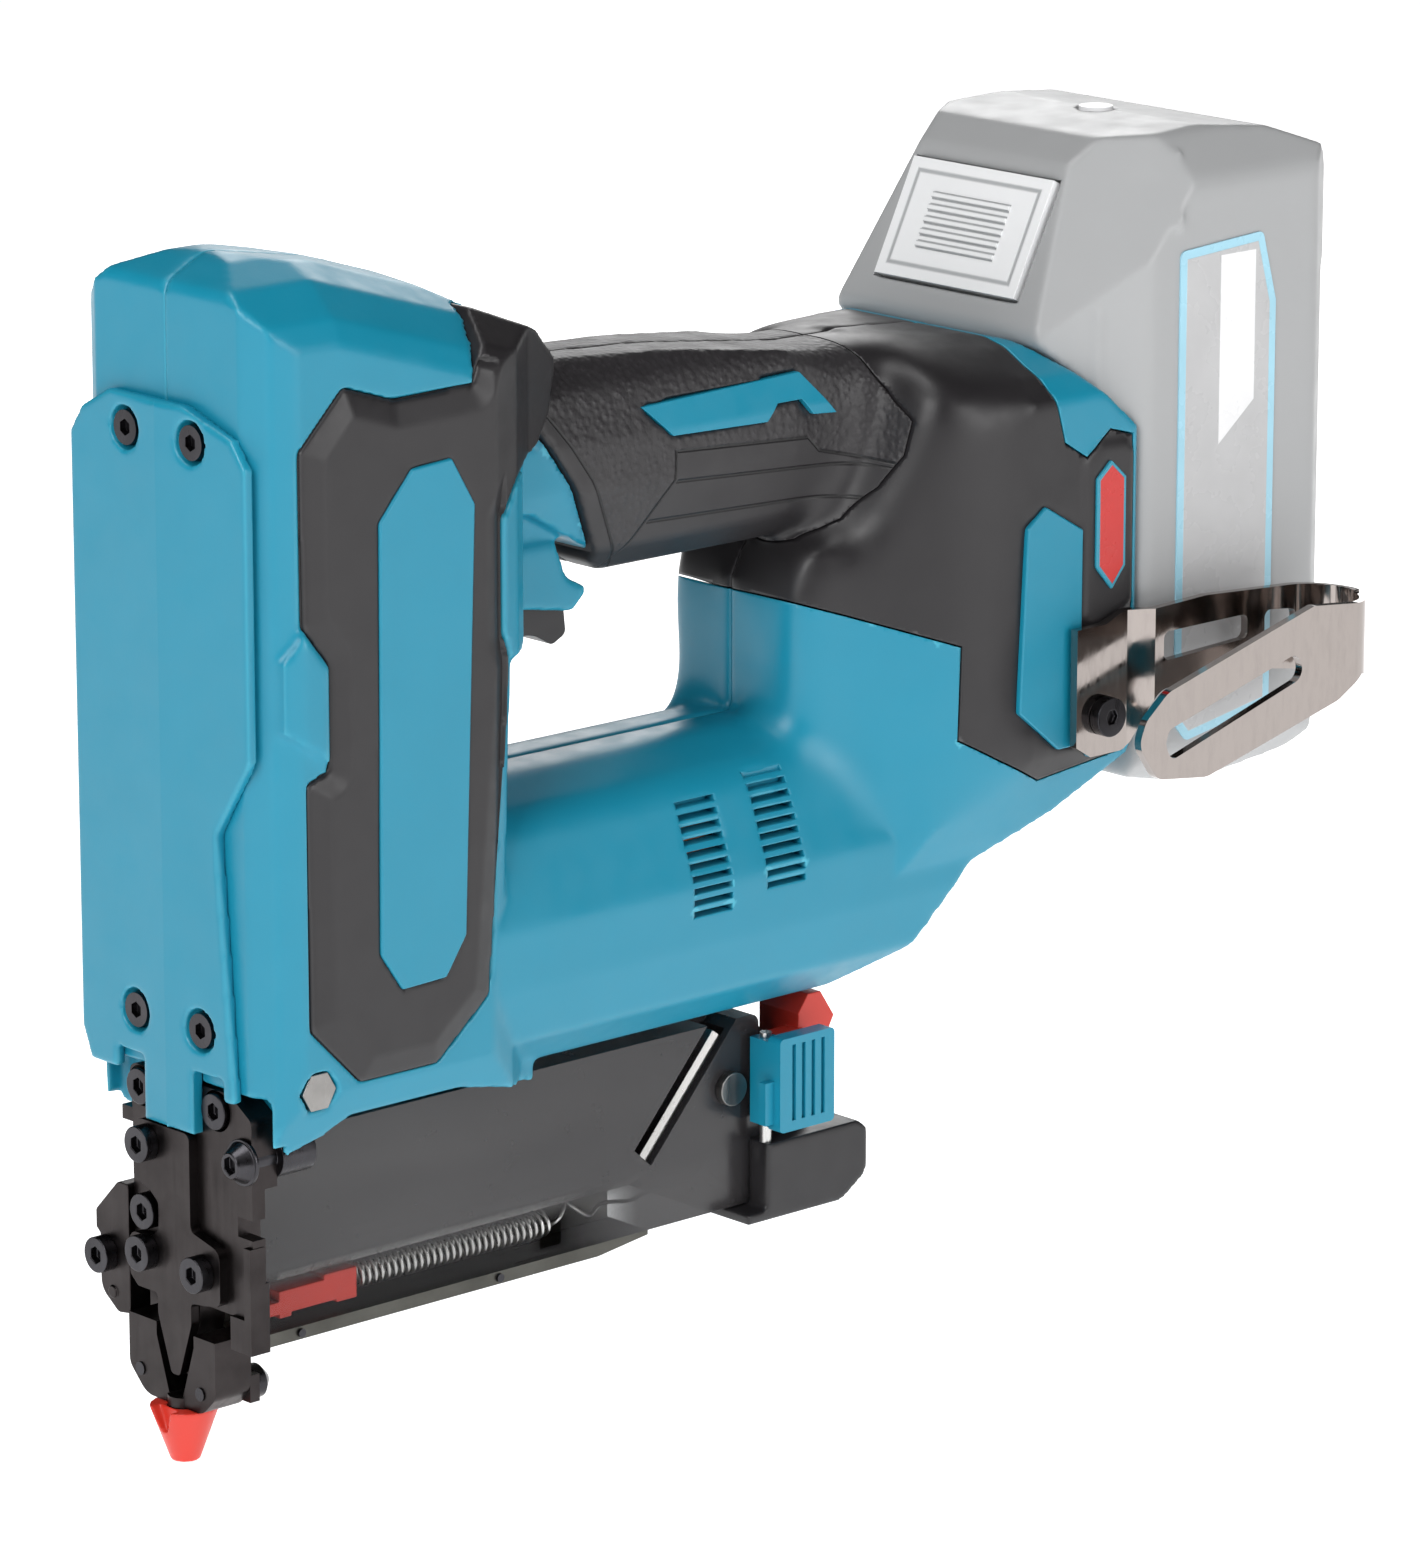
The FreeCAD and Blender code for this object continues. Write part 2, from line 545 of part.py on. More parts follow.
# ---------------------------------------------------------------- nose
guide_outline = [(-21.4, 25.8), (-15.3, 25.8), (-15.3, 32), (-5.2, 32), (-5.2, 28), (-1.3, 17),
                 (1.3, 17), (5.2, 28), (5.2, 32), (14.2, 32), (14.2, 66, 2), (15, 75, 2),
                 (-15, 75, 2), (-21.4, 71, 2), (-21.4, 51.8), (-17, 51.8), (-17, 47.9),
                 (-21.4, 47.9)]
front_outline = [(-5.2, 65.4, 1.5), (-5.2, 46.5, 1.5), (-13.8, 44.4, 2.5), (-13.8, 33.5, 2), (-5, 32.2, 1),
                 (-5, 28, 3), (-1.2, 17, 1), (1.2, 17, 1), (5, 28, 3), (5, 32, 1),
                 (11, 32, 1), (13.3, 34, 1.5), (13.3, 42.5, 2), (7, 42.6, 2), (4.4, 44.5, 1.5),
                 (4.4, 50, 1.5), (7, 52, 1.5), (11.7, 53.5, 1), (11.7, 65.4, 3)]
guide_blank = prism("guide_blank", "YZ", guide_outline, 0, 6, cell("guide_plate_thickness"))
front_blank = prism("front_blank", "YZ", front_outline, -2, 0, cell("nose_plate_thickness"))
block_near = prism("block_near", "YZ",
                   [(-13.3, 47, 1.5), (-13.3, 34, 1.5), (-11, 32.2, 1), (-6, 32.2), (-6, 47)],
                   6, 6.9)
screw_seats = [cylinder(f"screw_seat_{index}", 4.0, 4.0, (-2.2, side, 71.0), "+X")
               for index, side in enumerate([11.2, -11.2])]
blade_groove = cylinder("blade_groove", cell("blade_groove_radius"), 80.0, (0, 0, 10))
dowels = [cylinder(f"dowel_{index}", 2.0, 1.1, (-1.9, 0, height), "+X")
          for index, height in enumerate([53.2, 39.2])]
NOSE_SCREWS = [(-2.0, 7.4, 61.2), (0.0, 8.6, 47.3), (-2.0, 7.9, 39.6), (-2.0, -8.6, 39.2),
               (1.8, 11.2, 71.0), (1.8, -11.2, 71.0), (-1.4, 21.2, 36.0)]


def socket_screw(name, at, length):
    """A socket-head cap screw driven along +X, its head in front of the face at its x."""
    face, side, height = at
    head_height = mm("socket_head_height")
    blank = fuse(name + "_blank",
                 cylinder(name + "_head", cell("socket_head_radius"), cell("socket_head_height"),
                          (face - head_height, side, height), "+X"),
                 cylinder(name + "_shank", cell("socket_shank_radius"), length,
                          (face, side, height), "+X"))
    socket = hexagon(name + "_socket", 3.0, 1.8, (face - head_height - 0.2, side, height), "+X")
    return cut(name, blank, socket)


nose_screws = [socket_screw(f"nose_screw_{index}", at, 5.6 - at[0] if at[1] < 20 else 4.6)
               for index, at in enumerate(NOSE_SCREWS)]
node("nose_screws", group("nose_screw_set", *nose_screws))
boss_screw = fuse("boss_screw_parts",
                  cylinder("boss_screw_shank", 2.4, 7.5, (-0.4, *BOSS_SCREW), "+X"),
                  cylinder("boss_screw_washer", 4.5, 0.8, (-0.8, *BOSS_SCREW), "+X"),
                  cone("boss_screw_head", 4.0, 2.4, 2.8, (-0.8, *BOSS_SCREW), "-X"))
boss_socket = hexagon("boss_socket", 3.2, 2.0, (-4.2, *BOSS_SCREW), "+X")
node("boss_screw", cut("boss_screw_piece", fuse("boss_screw_solid", boss_screw, boss_spacer), boss_socket))
front_plate = cut("front_plate_piece", front_blank, blade_groove, *dowels, *nose_screws)
node("front_plate", front_plate)
node("dowel_pins", group("dowel_pair", *dowels))
spring_lug = box("spring_lug", (5.9, 14.9, 62), (10.4, 20.6, 64.8))
lug_arm = box("lug_arm", (2.5, 13, 62), (6, 20.6, 64.8))
side_bar = box("side_bar", (-0.9, -21.6, 25.6), (2.6, -19.6, 46.4))
side_bar_foot = box("side_bar_foot", (-0.9, -21.6, 25.6), (3.6, -19.6, 39.2))
side_step = box("side_step", (-0.9, -20, 25.6), (2, -15.4, 32.2))
near_relief = box("near_relief", (3, -23, 20), (8, -16.2, 57.5))
guide_plate = cut("guide_plate",
                  fuse("guide_parts", cut("guide_relieved", guide_blank, near_relief), spring_lug,
                       lug_arm, block_near, side_bar, side_bar_foot, side_step),
                  blade_groove, *screw_seats, *dowels, *nose_screws, boss_screw, head_bolt)
node("driver_guide", guide_plate)
bracket_outline = [(14.3, 51, 1), (17.5, 51, 2), (24.4, 44, 1), (24.4, 40.4), (23.2, 39.4),
                   (23.2, 28.5, 4), (18, 24.8, 2), (14.3, 25.4)]
bracket_pin = cylinder("bracket_pin", 1.2, 1.0, (-1.8, 19.4, 28.6), "+X")
node("side_bracket", cut("side_bracket_piece",
                         fuse("bracket_parts", bracket_pin,
                              prism("bracket_body", "YZ", bracket_outline, -1.4, 3.6)),
                         *nose_screws))

# ---------------------------------------------------------------- contact foot and cap
near_lobe = [(-12, 26), (-5.6, 26), (-5.6, 23.6), (-2.1, 13), (-2.1, 11), (-8, 11, 4),
             (-12, 15, 3)]
far_lobe = [(14, 26.2), (5.6, 26.2), (5.6, 23.6), (2.1, 13), (2.1, 11), (9, 11, 5),
            (14, 16, 3)]
foot_stub = cylinder("foot_stub", cell("stub_radius"), 9.2, (0, 0, 3.6))
foot_bridge = box("foot_bridge", (6.3, -12, 12.4), (8.6, 20, 17.8))
foot_floor = box("foot_floor", (-2, -2.6, 11), (6.6, 2.6, 12.9))
foot_arm = box("foot_arm", (6.3, 14.8, 12.4), (8.6, 19.8, 47.6))
spring_pin = cylinder("spring_pin", 1.0, 9.5, (7.45, 17.6, 47))
foot_knob = common("foot_knob", cylinder("foot_knob_disc", 3.3, 4.2, (8.6, -8.2, 15.1), "+X"),
                   cone("foot_knob_dome", 5.6, 1.4, 4.2, (8.6, -8.2, 15.1), "+X"))
foot_pins = [cylinder("foot_rivet_near", 1.3, 8.9, (-2.3, -7.4, 14.9), "+X"),
             cylinder("foot_rivet_far", 1.3, 8.9, (-2.3, 10.6, 15.6), "+X"), foot_knob]
nail_path = cylinder("nail_path", cell("nail_hole_radius"), 40.0, (0, 0, -5))
foot_body = fuse("foot_body", prism("foot_near_lobe", "YZ", near_lobe, -2, 6.6),
                 prism("foot_far_lobe", "YZ", far_lobe, -2, 6.6), foot_stub, foot_bridge,
                 foot_floor, foot_arm, spring_pin)
node("contact_foot", cut("contact_foot_piece", foot_body, nail_path, *foot_pins))
node("foot_rivets", group("foot_rivet_set", *foot_pins))
spring_base = (7.45, 17.6, 47.7)
node("contact_spring", coil("contact_spring_wire", 0.35, 1.8, 14.2, 8, spring_base))

cap_cone = cone("cap_cone", cell("cap_tip_radius"), cell("cap_top_radius"),
                cell("cap_length"), (0, 0, 0))
cap_bore = cylinder("cap_bore", cell("cap_bore_radius"), 10.0, (0, 0, 3.5))
cap_notch = prism("cap_notch", "YZ", [(-3.4, 12), (3.4, 12), (0.9, 6.4), (-0.9, 6.4)], -9, -3.6)
node("nose_cap", cut("nose_cap_piece", cap_cone, cap_bore, cap_notch, nail_path))

# ---------------------------------------------------------------- magazine
mag_front, mag_rear = mm("magazine_front"), mm("magazine_rear")
mag_low, mag_top = mm("magazine_bottom"), mm("magazine_top")
mag_side = mm("magazine_half_width")
inner_side = mag_side - mm("magazine_wall")
magazine_shell = prism("magazine_shell", "XZ",
                       [(mag_front, mag_low), (mag_rear, mag_low), (mag_rear, mag_top, 2),
                        (mag_front, mag_top, 2)], -mag_side, mag_side)
magazine_hollow = box("magazine_hollow", (mag_front - 3, -inner_side, mag_low - 3),
                      (mag_rear - 2.6, inner_side, mag_top - 2))
window = box("window", (77, -20, 27.2), (84, -inner_side + 1, 33.2))
key_angle = math.atan2(63.5 - 37.5, 128 - 104.8)
key_slot = box("key_slot", (0, -4, -2.9), (34, 4, 2.9))
key_slot.Placement = Placement(V(106, -mag_side, 38.8), Rotation(V(0, -1, 0), math.degrees(key_angle)))
magazine_bolt = fuse("magazine_bolt_parts",
                     cylinder("magazine_bolt_shank", 1.9, 31.0, (126.4, -15.6, 50.6), "+Y"),
                     cylinder("magazine_bolt_head", 3.4, 1.8, (126.4, -14.1, 50.6), "-Y"),
                     hexagon("magazine_bolt_nut", 5.8, 2.4, (126.4, 14.05, 50.6), "+Y"))
node("magazine_bolt", magazine_bolt)
node("magazine_body", cut("magazine_body_piece", magazine_shell, magazine_hollow, window,
                          key_slot, magazine_bolt))
rail_front = 7.0
rail_flange = prism("rail_flange", "XZ",
                    [(rail_front, 22.7), (93, 22.7), (106, 24.4), (106, 25.3), (rail_front, 25.3)],
                    -13, 13)
rail_web = box("rail_web", (rail_front, -1.6, 24.9), (105.5, 1.6, 58))
bind(rail_web, Width=cell("web_thickness"), Length=cell("rail_length"))
rail_rivets = [cylinder(f"rail_rivet_{index}", 0.85, 27.0, (along, -13.5, 24.0), "+Y")
               for index, along in enumerate([18.0, 67.5])]
node("magazine_rail", cut("magazine_rail_piece", fuse("rail_parts", rail_flange, rail_web),
                          *rail_rivets))
node("rail_rivets", group("rail_rivet_pair", *rail_rivets))
pusher_outline = [(9.6, 30.6), (9.6, 28), (14, 28), (14, 27.2), (17, 27.2), (17, 28),
                  (28, 28), (28, 27.4), (33, 27.4), (33, 33.6), (25, 33.6), (25, 32.6),
                  (14, 32.6), (14, 30.6)]
node("pusher", prism("pusher_body", "XZ", pusher_outline, -11.6, -2.0))
node("pusher_spring", coil("pusher_spring_wire", 0.4, 2.5, 98.0, 60, (33.3, -8.6, 30.9), "+X"))
node("lockout_spring", coil("lockout_spring_wire", 0.45, 2.6, 27.0, 20, (71, -8.0, 50), "+X"))

key_side = -inner_side + 2.4
key_height = 36.4
key_bend_radius = 6.0
key_bend_start = V(102, key_side, key_height)
key_bend_centre = key_bend_start + V(0, 0, key_bend_radius)


def on_key_bend(angle):
    return key_bend_centre + V(math.sin(angle), 0, -math.cos(angle)) * key_bend_radius


key_front = V(14, key_side, key_height)
key_way = V(math.cos(key_angle), 0, math.sin(key_angle))
key_bend_end = on_key_bend(key_angle)
key_path = Part.Wire([Part.LineSegment(key_front, key_bend_start).toShape(),
                      Part.Arc(key_bend_start, on_key_bend(key_angle / 2), key_bend_end).toShape(),
                      Part.LineSegment(key_bend_end, key_bend_end + key_way * 30).toShape()])
key_corner = mm("hex_key_flats") / math.sqrt(3)
key_corners = [key_front + V(0, math.cos(math.radians(60 * turn)), math.sin(math.radians(60 * turn)))
               * key_corner for turn in range(7)]
hex_key = add("Part::Feature", "hex_key_bar")
hex_key.Shape = key_path.makePipeShell([Part.makePolygon(key_corners)], True, False)
node("hex_key", hex_key)

end_low = prism("end_low", "XZ",
                [(134.8, 23.4), (152, 23.4, 2), (158.8, 28, 4), (158.8, 37, 2), (156.5, 39, 1),
                 (134.8, 39)], -20, 16)
end_front = box("end_front", (126.5, -20, 23.4), (135, 16, 25.4))
end_cheek = box("end_cheek", (131.6, -20, 23.4), (135, -14.3, 39))
end_fin = prism("end_fin", "XZ", [(134.8, 38), (151, 38), (147, 49, 1), (142, 55, 1),
                                  (134.8, 63)], -12, 12)
lever_pin = cylinder("lever_pin_body", cell("pin_radius"), 27.0, (133.2, -17.6, 34.5))
node("lever_pin", lever_pin)
node("end_block", cut("end_block_piece", fuse("end_parts", end_low, end_front, end_cheek, end_fin),
                      lever_pin))
lever_plate = prism("lever_plate", "XZ",
                    [(131, 42.3, 1), (145.6, 42.3, 1), (145.6, 61.5, 1), (131, 61.5, 1)],
                    -24.2, -20.6)
lever_knuckle = box("lever_knuckle", (131, -21, 43), (135.4, -15.4, 60.5))
lever_foot = box("lever_foot", (128.6, -22.5, 44), (131.5, -20.6, 52.7))
lever_grooves = [box(f"lever_groove_{index}", (134.2 + 2.6 * index, -24.4, 44.4),
                     (135.2 + 2.6 * index, -23.4, 60.0)) for index in range(4)]
lever_bore = cylinder("lever_bore", cell("pin_radius", " + 0.05"), 40.0, (133.2, -17.6, 30))
node("release_lever", cut("release_lever_piece",
                          fuse("lever_parts", lever_plate, lever_knuckle, lever_foot),
                          lever_bore, *lever_grooves))
catch_body = prism("catch_body", "XZ",
                   [(143, 57), (150.5, 57), (152.7, 61), (149, 66.6, 0.6), (145.6, 66.6, 0.6),
                    (143, 63)], -16.5, -5)
catch_arm = box("catch_arm", (137, -20.6, 56.6), (144, -13, 60))
node("catch", fuse("catch_piece", catch_body, catch_arm))

# ---------------------------------------------------------------- belt hook
sheet_t = mm("hook_sheet")
tab_side = -rear_side - 1.6
strip = [(195, tab_side), (195, tab_side - sheet_t), (209, tab_side - sheet_t),
         (213.5, tab_side - 5.2), (256, tab_side - 5.2, 7.4), (264, tab_side - 13.5, 8),
         (256, tab_side - 20.8, 6), (191, tab_side - 20.8), (191, tab_side - 22.6),
         (256, tab_side - 22.6, 8), (265.8, tab_side - 13.5, 9), (256.6, tab_side - 3.4, 9),
         (214.2, tab_side - 3.4), (210, tab_side)]
hook_strip = prism("hook_strip", "XY", strip, 106, 141)
inner_arm = prism("inner_arm", "XZ",
                  [(195, 113), (199, 110.5), (209, 110.5, 3), (214, 122, 5), (232, 124, 8),
                   (268, 118, 4), (268, 137, 5), (245, 138.6, 10), (228, 139.7, 10),
                   (208, 139), (203, 137), (195, 137)], -55, -38)
outer_arm = prism("outer_arm", "XZ",
                  [(268, 118, 4), (256, 122), (248.5, 117.8, 5), (210.8, 108.4, 6),
                   (196.8, 110.2, 4), (191.5, 117.8, 4), (193.5, 122.5, 4), (199.6, 127.4, 6),
                   (241, 138.4, 3), (254, 137), (268, 137, 5)], -64, -53)
hook_slot = prism("hook_slot", "XZ",
                  [(199, 117, 2.4), (200.6, 113.4, 2), (238.6, 124.4, 2.6), (236.5, 129.6, 2.6),
                   (200, 119.8, 2)], -64, -56)
inner_slots = [prism("inner_slot_low", "XZ", [(216, 128, 1.5), (240, 129, 1.5), (240, 134, 1.5),
                                              (216, 134, 1.5)], -50, -43),
               prism("inner_slot_rear", "XZ", [(245, 127, 1.5), (254, 126, 1.5), (254, 133, 1.5),
                                               (245, 134, 1.5)], -50, -43)]
hook_clear = cylinder("hook_clear", 2.3, 6.0, (hook_x, tab_side - 4, hook_z), "+Y")
node("belt_hook", cut("belt_hook_piece",
                      common("hook_arms", hook_strip, fuse("arm_outlines", inner_arm, outer_arm)),
                      hook_slot, *inner_slots, hook_clear))
hook_screw = fuse("hook_screw_parts",
                  cylinder("hook_screw_shank", cell("hook_screw_radius"), 14.0,
                           (hook_x, tab_side - sheet_t - 0.05, hook_z), "+Y"),
                  cylinder("hook_screw_head", 4.0, 2.4,
                           (hook_x, tab_side - sheet_t - 0.05, hook_z), "-Y"))
hook_socket = hexagon("hook_socket", 2.8, 1.6, (hook_x, tab_side - sheet_t - 3, hook_z), "+Y")
node("hook_screw", cut("hook_screw_piece", hook_screw, hook_socket))

# ---------------------------------------------------------------- battery pack
pack_side = mm("battery_half_width")
pack_plan = both_ends([(194, 0), (194, 28.5, 3), (219, pack_side, 6), (266, pack_side, 5),
                       (275, 31, 4), (275, 0)])
pack_profile = [(216.2, 102, 2), (228, 99, 6), (248, 97, 10), (266, 100, 7), (272, 108, 3),
                (275, 110, 1), (275, 124.4, 1), (272, 126), (272, 199), (275, 200.6, 1),
                (275, 219.5, 2), (270.5, 225, 4), (258, 229.6, 6), (240, 231.5, 10),
                (218, 230.6, 4), (211, 225.6, 4), (195.4, 195), (195.6, 192.4), (216.2, 174.9)]
pack_section = both_sides([(0, 96), (29, 96, 5), (pack_side, 106, 6), (pack_side, 222, 6),
                           (29, 231.6, 6), (0, 231.6)])
pack_form = common("pack_form",
                   prism("pack_plan", "XY", pack_plan, 90, 240),
                   prism("pack_profile", "XZ", pack_profile, -40, 40),
                   prism("pack_section", "YZ", pack_section, 190, 280))
# The facet between the sloping front and each side lies square to this direction.
slant_near = box("slant_near", (-60, -60, 0), (60, 60, 40))
slant_turn = Rotation(V(0, 0, 1), V(-0.524, -0.731, 0.438))
slant_near.Placement = Placement(V(208.3, -22.5, 220) + slant_turn.multVec(V(-60, -60, 0)), slant_turn)
pack_main = cut("pack_main", pack_form, slant_near, mirrored("slant_far", slant_near))
neck_side = mm("channel_half_width") - 0.4
pack_neck = box("pack_neck", (mm("channel_front") + 0.8, -neck_side, 113), (217, neck_side, 198))
cell_room = box("cell_room", (219.5, -33.4, 104), (266, 33.4, 224))
contact_room = box("contact_room", (206, -20.4, 112), (215, 20.4, 176))
latch_turn = Rotation(V(0, 1, 0), -90 + 26.2)
latch_middle = V(203.6, 0, 211.2)


def on_latch(name, half_width, half_height, low, high):
    """A block square to the pack's sloping front, from low to high in front of it."""
    piece = box(name, (-half_height, -half_width, low), (half_height, half_width, high))
    base = latch_turn.multVec(V(-half_height, -half_width, low))
    piece.Placement = Placement(latch_middle + base, latch_turn)
    return piece


latch_room = on_latch("latch_room", 20.4, 12.9, -5.6, 3)
latch_plate = on_latch("latch_plate", 20.0, 12.5, -3.2, 0.9)
latch_ribs = [on_latch(f"latch_rib_{index}", 11.0, 0.6, 0.9, 1.4) for index in range(5)]
for index, rib in enumerate(latch_ribs):
    rib.Placement.Base = rib.Placement.Base + latch_turn.multVec(V(2.6 * (index - 2), 0, 0))
gauge_room = cylinder("gauge_room", 3.7, 8.0, (240, 0, 228.0))
node("battery_latch", fuse("battery_latch_piece", latch_plate, *latch_ribs))
node("gauge_button", cylinder("gauge_button_body", 3.5, 3.0, (240, 0, 228.9)))
label_outline = [(226.5, 208.5, 1.5), (250, 210, 1.5), (254, 195.5, 1), (254, 112, 1.5),
                 (230, 108, 1.5), (226.5, 112, 1.5)]
label = prism("label", "XZ", label_outline, -pack_side - 0.25, -pack_side + 0.35)
label_far = mirrored("label_far", label)
node("battery_labels", group("label_pair", label, label_far))
node("battery_case", cut("battery_case_piece", fuse("pack_solid", pack_main, pack_neck), cell_room,
                         contact_room, latch_room, gauge_room, label, label_far))
cells = [cylinder(f"cell_{column}_{level}", cell("cell_radius"), cell("cell_length"),
                  (231.0 + 22.4 * column, -mm("cell_length") / 2, 117.0 + 23.4 * level), "+Y")
         for column in range(2) for level in range(5)]
node("battery_cells", group("cell_set", *cells))
terminal_blades = [box(f"terminal_{index}", (204, side - 0.5, 122), (212, side + 0.5, 164))
                   for index, side in enumerate([-14.0, -5.0, 5.0, 14.0])]
node("terminal_block", fuse("terminal_parts", box("terminal_base", (196, -19.2, 117.4),
                                                  (206, 19.2, 168.6)), *terminal_blades))

# ---------------------------------------------------------------- motor and gears
axis_z = mm("motor_axis_height")


def ring(name, outer, inner, length, at, way="+X"):
    return cut(name, cylinder(name + "_outside", outer, length, at, way),
               cylinder(name + "_inside", inner, length, at, way))


node("motor_stator", ring("stator_ring", cell("stator_radius"), cell("rotor_radius", " + 0.6"),
                          32.0, (86, 0, axis_z)))
fan_hub = cylinder("fan_hub", 6.0, 8.0, (124, 0, axis_z), "+X")
fan_disc = cylinder("fan_disc", cell("fan_radius"), 1.6, (124, 0, axis_z), "+X")
fan_blades = []
for index in range(9):
    fan_blade = box(f"fan_blade_{index}", (124, -0.6, 0), (131.5, 0.6, 19.0))
    fan_blade.Placement = Placement(V(124, 0, axis_z), Rotation(V(1, 0, 0), 40 * index))
    fan_blades.append(fan_blade)
fan_bore = cylinder("fan_bore", cell("shaft_radius"), 12.0, (122, 0, axis_z), "+X")
node("cooling_fan", cut("cooling_fan_piece", fuse("fan_parts", fan_hub, fan_disc, *fan_blades),
                        fan_bore))
bearing_front = ring("bearing_front", 8.0, cell("shaft_radius", " + 0.03"), 5.0, (72, 0, axis_z))
bearing_rear = ring("bearing_rear", 8.0, cell("shaft_radius", " + 0.03"), 5.0, (136, 0, axis_z))
node("motor_bearings", group("bearing_pair", bearing_front, bearing_rear))


def gear_outline(teeth, gear_phase):
    """Involute spur teeth, thinned for backlash and with short tips."""
    module = mm("gear_module")
    pitch_radius = module * teeth / 2
    base_radius = pitch_radius * math.cos(math.radians(20))
    tip_radius = pitch_radius + 0.85 * module
    root_radius = pitch_radius - 1.25 * module
    pitch_roll = math.sqrt((pitch_radius / base_radius) ** 2 - 1)
    half_tooth = math.pi / (2 * teeth) - 0.12 / pitch_radius + pitch_roll - math.atan(pitch_roll)
    start_radius = max(base_radius, root_radius)
    points = []
    for tooth in range(teeth):
        centre = 2 * math.pi * tooth / teeth + gear_phase
        flank = []
        for step in range(5):
            radius = start_radius + (tip_radius - start_radius) * step / 4
            roll = math.sqrt(max((radius / base_radius) ** 2 - 1, 0))
            flank.append((radius, half_tooth - (roll - math.atan(roll))))
        points.append((root_radius, centre - flank[0][1]))
        points += [(radius, centre - half) for radius, half in flank]
        points += [(radius, centre + half) for radius, half in reversed(flank)]
        points.append((root_radius, centre + flank[0][1]))
    corners = [V(0, radius * math.cos(angle), radius * math.sin(angle)) for radius, angle in points]
    return Part.makePolygon(corners + [corners[0]])


def gear(name, teeth, at, gear_phase=0.0):
    piece = add("Part::Feature", name)
    piece.Shape = Part.Face(gear_outline(teeth, gear_phase)).extrude(V(mm("gear_width"), 0, 0))
    piece.Placement = Placement(V(*at), Rotation())
    return piece


gear_distance = mm("gear_module") * (mm("pinion_teeth") + mm("drive_teeth")) / 2
lift_z = axis_z + gear_distance
# A tooth of the drive gear points straight down, into a gap of the pinion.
pinion_phase = math.pi / 2 + math.pi / mm("pinion_teeth")
pinion = gear("pinion", mm("pinion_teeth"), (47.5, 0, axis_z), pinion_phase)
shaft = cylinder("rotor_shaft", cell("shaft_radius"), 94.0, (47.5, 0, axis_z), "+X")
rotor_core = cylinder("rotor_core", cell("rotor_radius"), 32.0, (86, 0, axis_z), "+X")
node("motor_rotor", fuse("rotor_parts", rotor_core, shaft, pinion))
drive_phase = -math.pi / 2
lift_bore = cylinder("lift_bore", 3.0, 20.0, (38, 0, lift_z), "+X")
node("drive_gear", cut("drive_gear_piece", gear("drive_gear_body", mm("drive_teeth"),
                                                (47.5, 0, lift_z), drive_phase), lift_bore))
lift_shaft = cylinder("lift_shaft", 3.0, 18.0, (42, 0, lift_z), "+X")
lift_disc = cylinder("lift_disc", 15.0, 4.0, (42, 0, lift_z), "+X")
lift_pins = [cylinder(f"lift_pin_{index}", 2.0, 4.4,
                      (38, 12 * math.cos(math.radians(55 * index)),
                       lift_z + 12 * math.sin(math.radians(55 * index))), "+X")
             for index in range(4)]
node("lift_wheel", fuse("lift_wheel_parts", lift_disc, lift_shaft, *lift_pins))
gear_case_plate = box("gear_case_plate", (55.0, -20, 78), (59.4, 20, 124))
gear_case_room = fuse("gear_case_room", cylinder("gear_case_round", 23.3, 10.0,
                                                 (53, 0, axis_z), "+X"),
                      cylinder("gear_case_lobe", 9.0, 10.0, (53, 0, lift_z), "+X"))
node("gear_case", cut("gear_case_piece",
                      common("gear_case_blank", gear_case_plate, gear_case_room),
                      cylinder("case_shaft_bore", cell("shaft_radius", " + 0.05"), 10.0,
                               (52, 0, axis_z), "+X"),
                      cylinder("case_lift_bore", 3.05, 10.0, (52, 0, lift_z), "+X")))

# ---------------------------------------------------------------- striking parts
column_x = mm("plunger_axis_x")
rod_foot = cylinder("rod_foot", 9.5, 5.0, (column_x, 0, 82.5))
rod = cylinder("rod", cell("guide_rod_radius"), 134.0, (column_x, 0, 74.5))
node("guide_rod", fuse("guide_rod_parts", rod_foot, rod))
node("plunger_bumper", ring("bumper_ring", 9.5, cell("guide_rod_radius", " + 0.3"), 8.5,
                            (column_x, 0, 87.6), "+Z"))
piston = cylinder("piston", cell("piston_radius"), 8.0, (column_x, 0, 96.6))
piston_bore = cylinder("piston_bore", cell("piston_bore_radius"), 20.0, (column_x, 0, 90))
blade_arm = box("blade_arm", (-0.5, -3.6, 98.6), (14.5, 3.6, 104.6))
driver_blade = cylinder("driver_blade", cell("blade_radius"), 80.0, (0, 0, 20))
node("plunger", cut("plunger_piece", fuse("plunger_parts", piston, blade_arm, driver_blade),
                    piston_bore))
node("main_spring", coil("main_spring_wire", 1.3, 7.6, 106.0, 13, (column_x, 0, 104.9)))
node("controller_board", fuse("controller_parts", box("board", (184, -26, 124), (186, 26, 174)),
                              box("heat_sink", (186, -18, 130), (190, 18, 166))))

# ---------------------------------------------------------------- checks and files
doc.recompute()
problems = []
for item in doc.Objects:
    if "Invalid" in item.State or "Error" in item.State:
        problems.append(f"{item.Name}: {item.State}")
for name, piece in nodes.items():
    if piece.Shape.isNull() or not piece.Shape.isValid():
        problems.append(f"{name}: null or not valid")
if problems:
    raise SystemExit("not exported: " + "; ".join(problems))

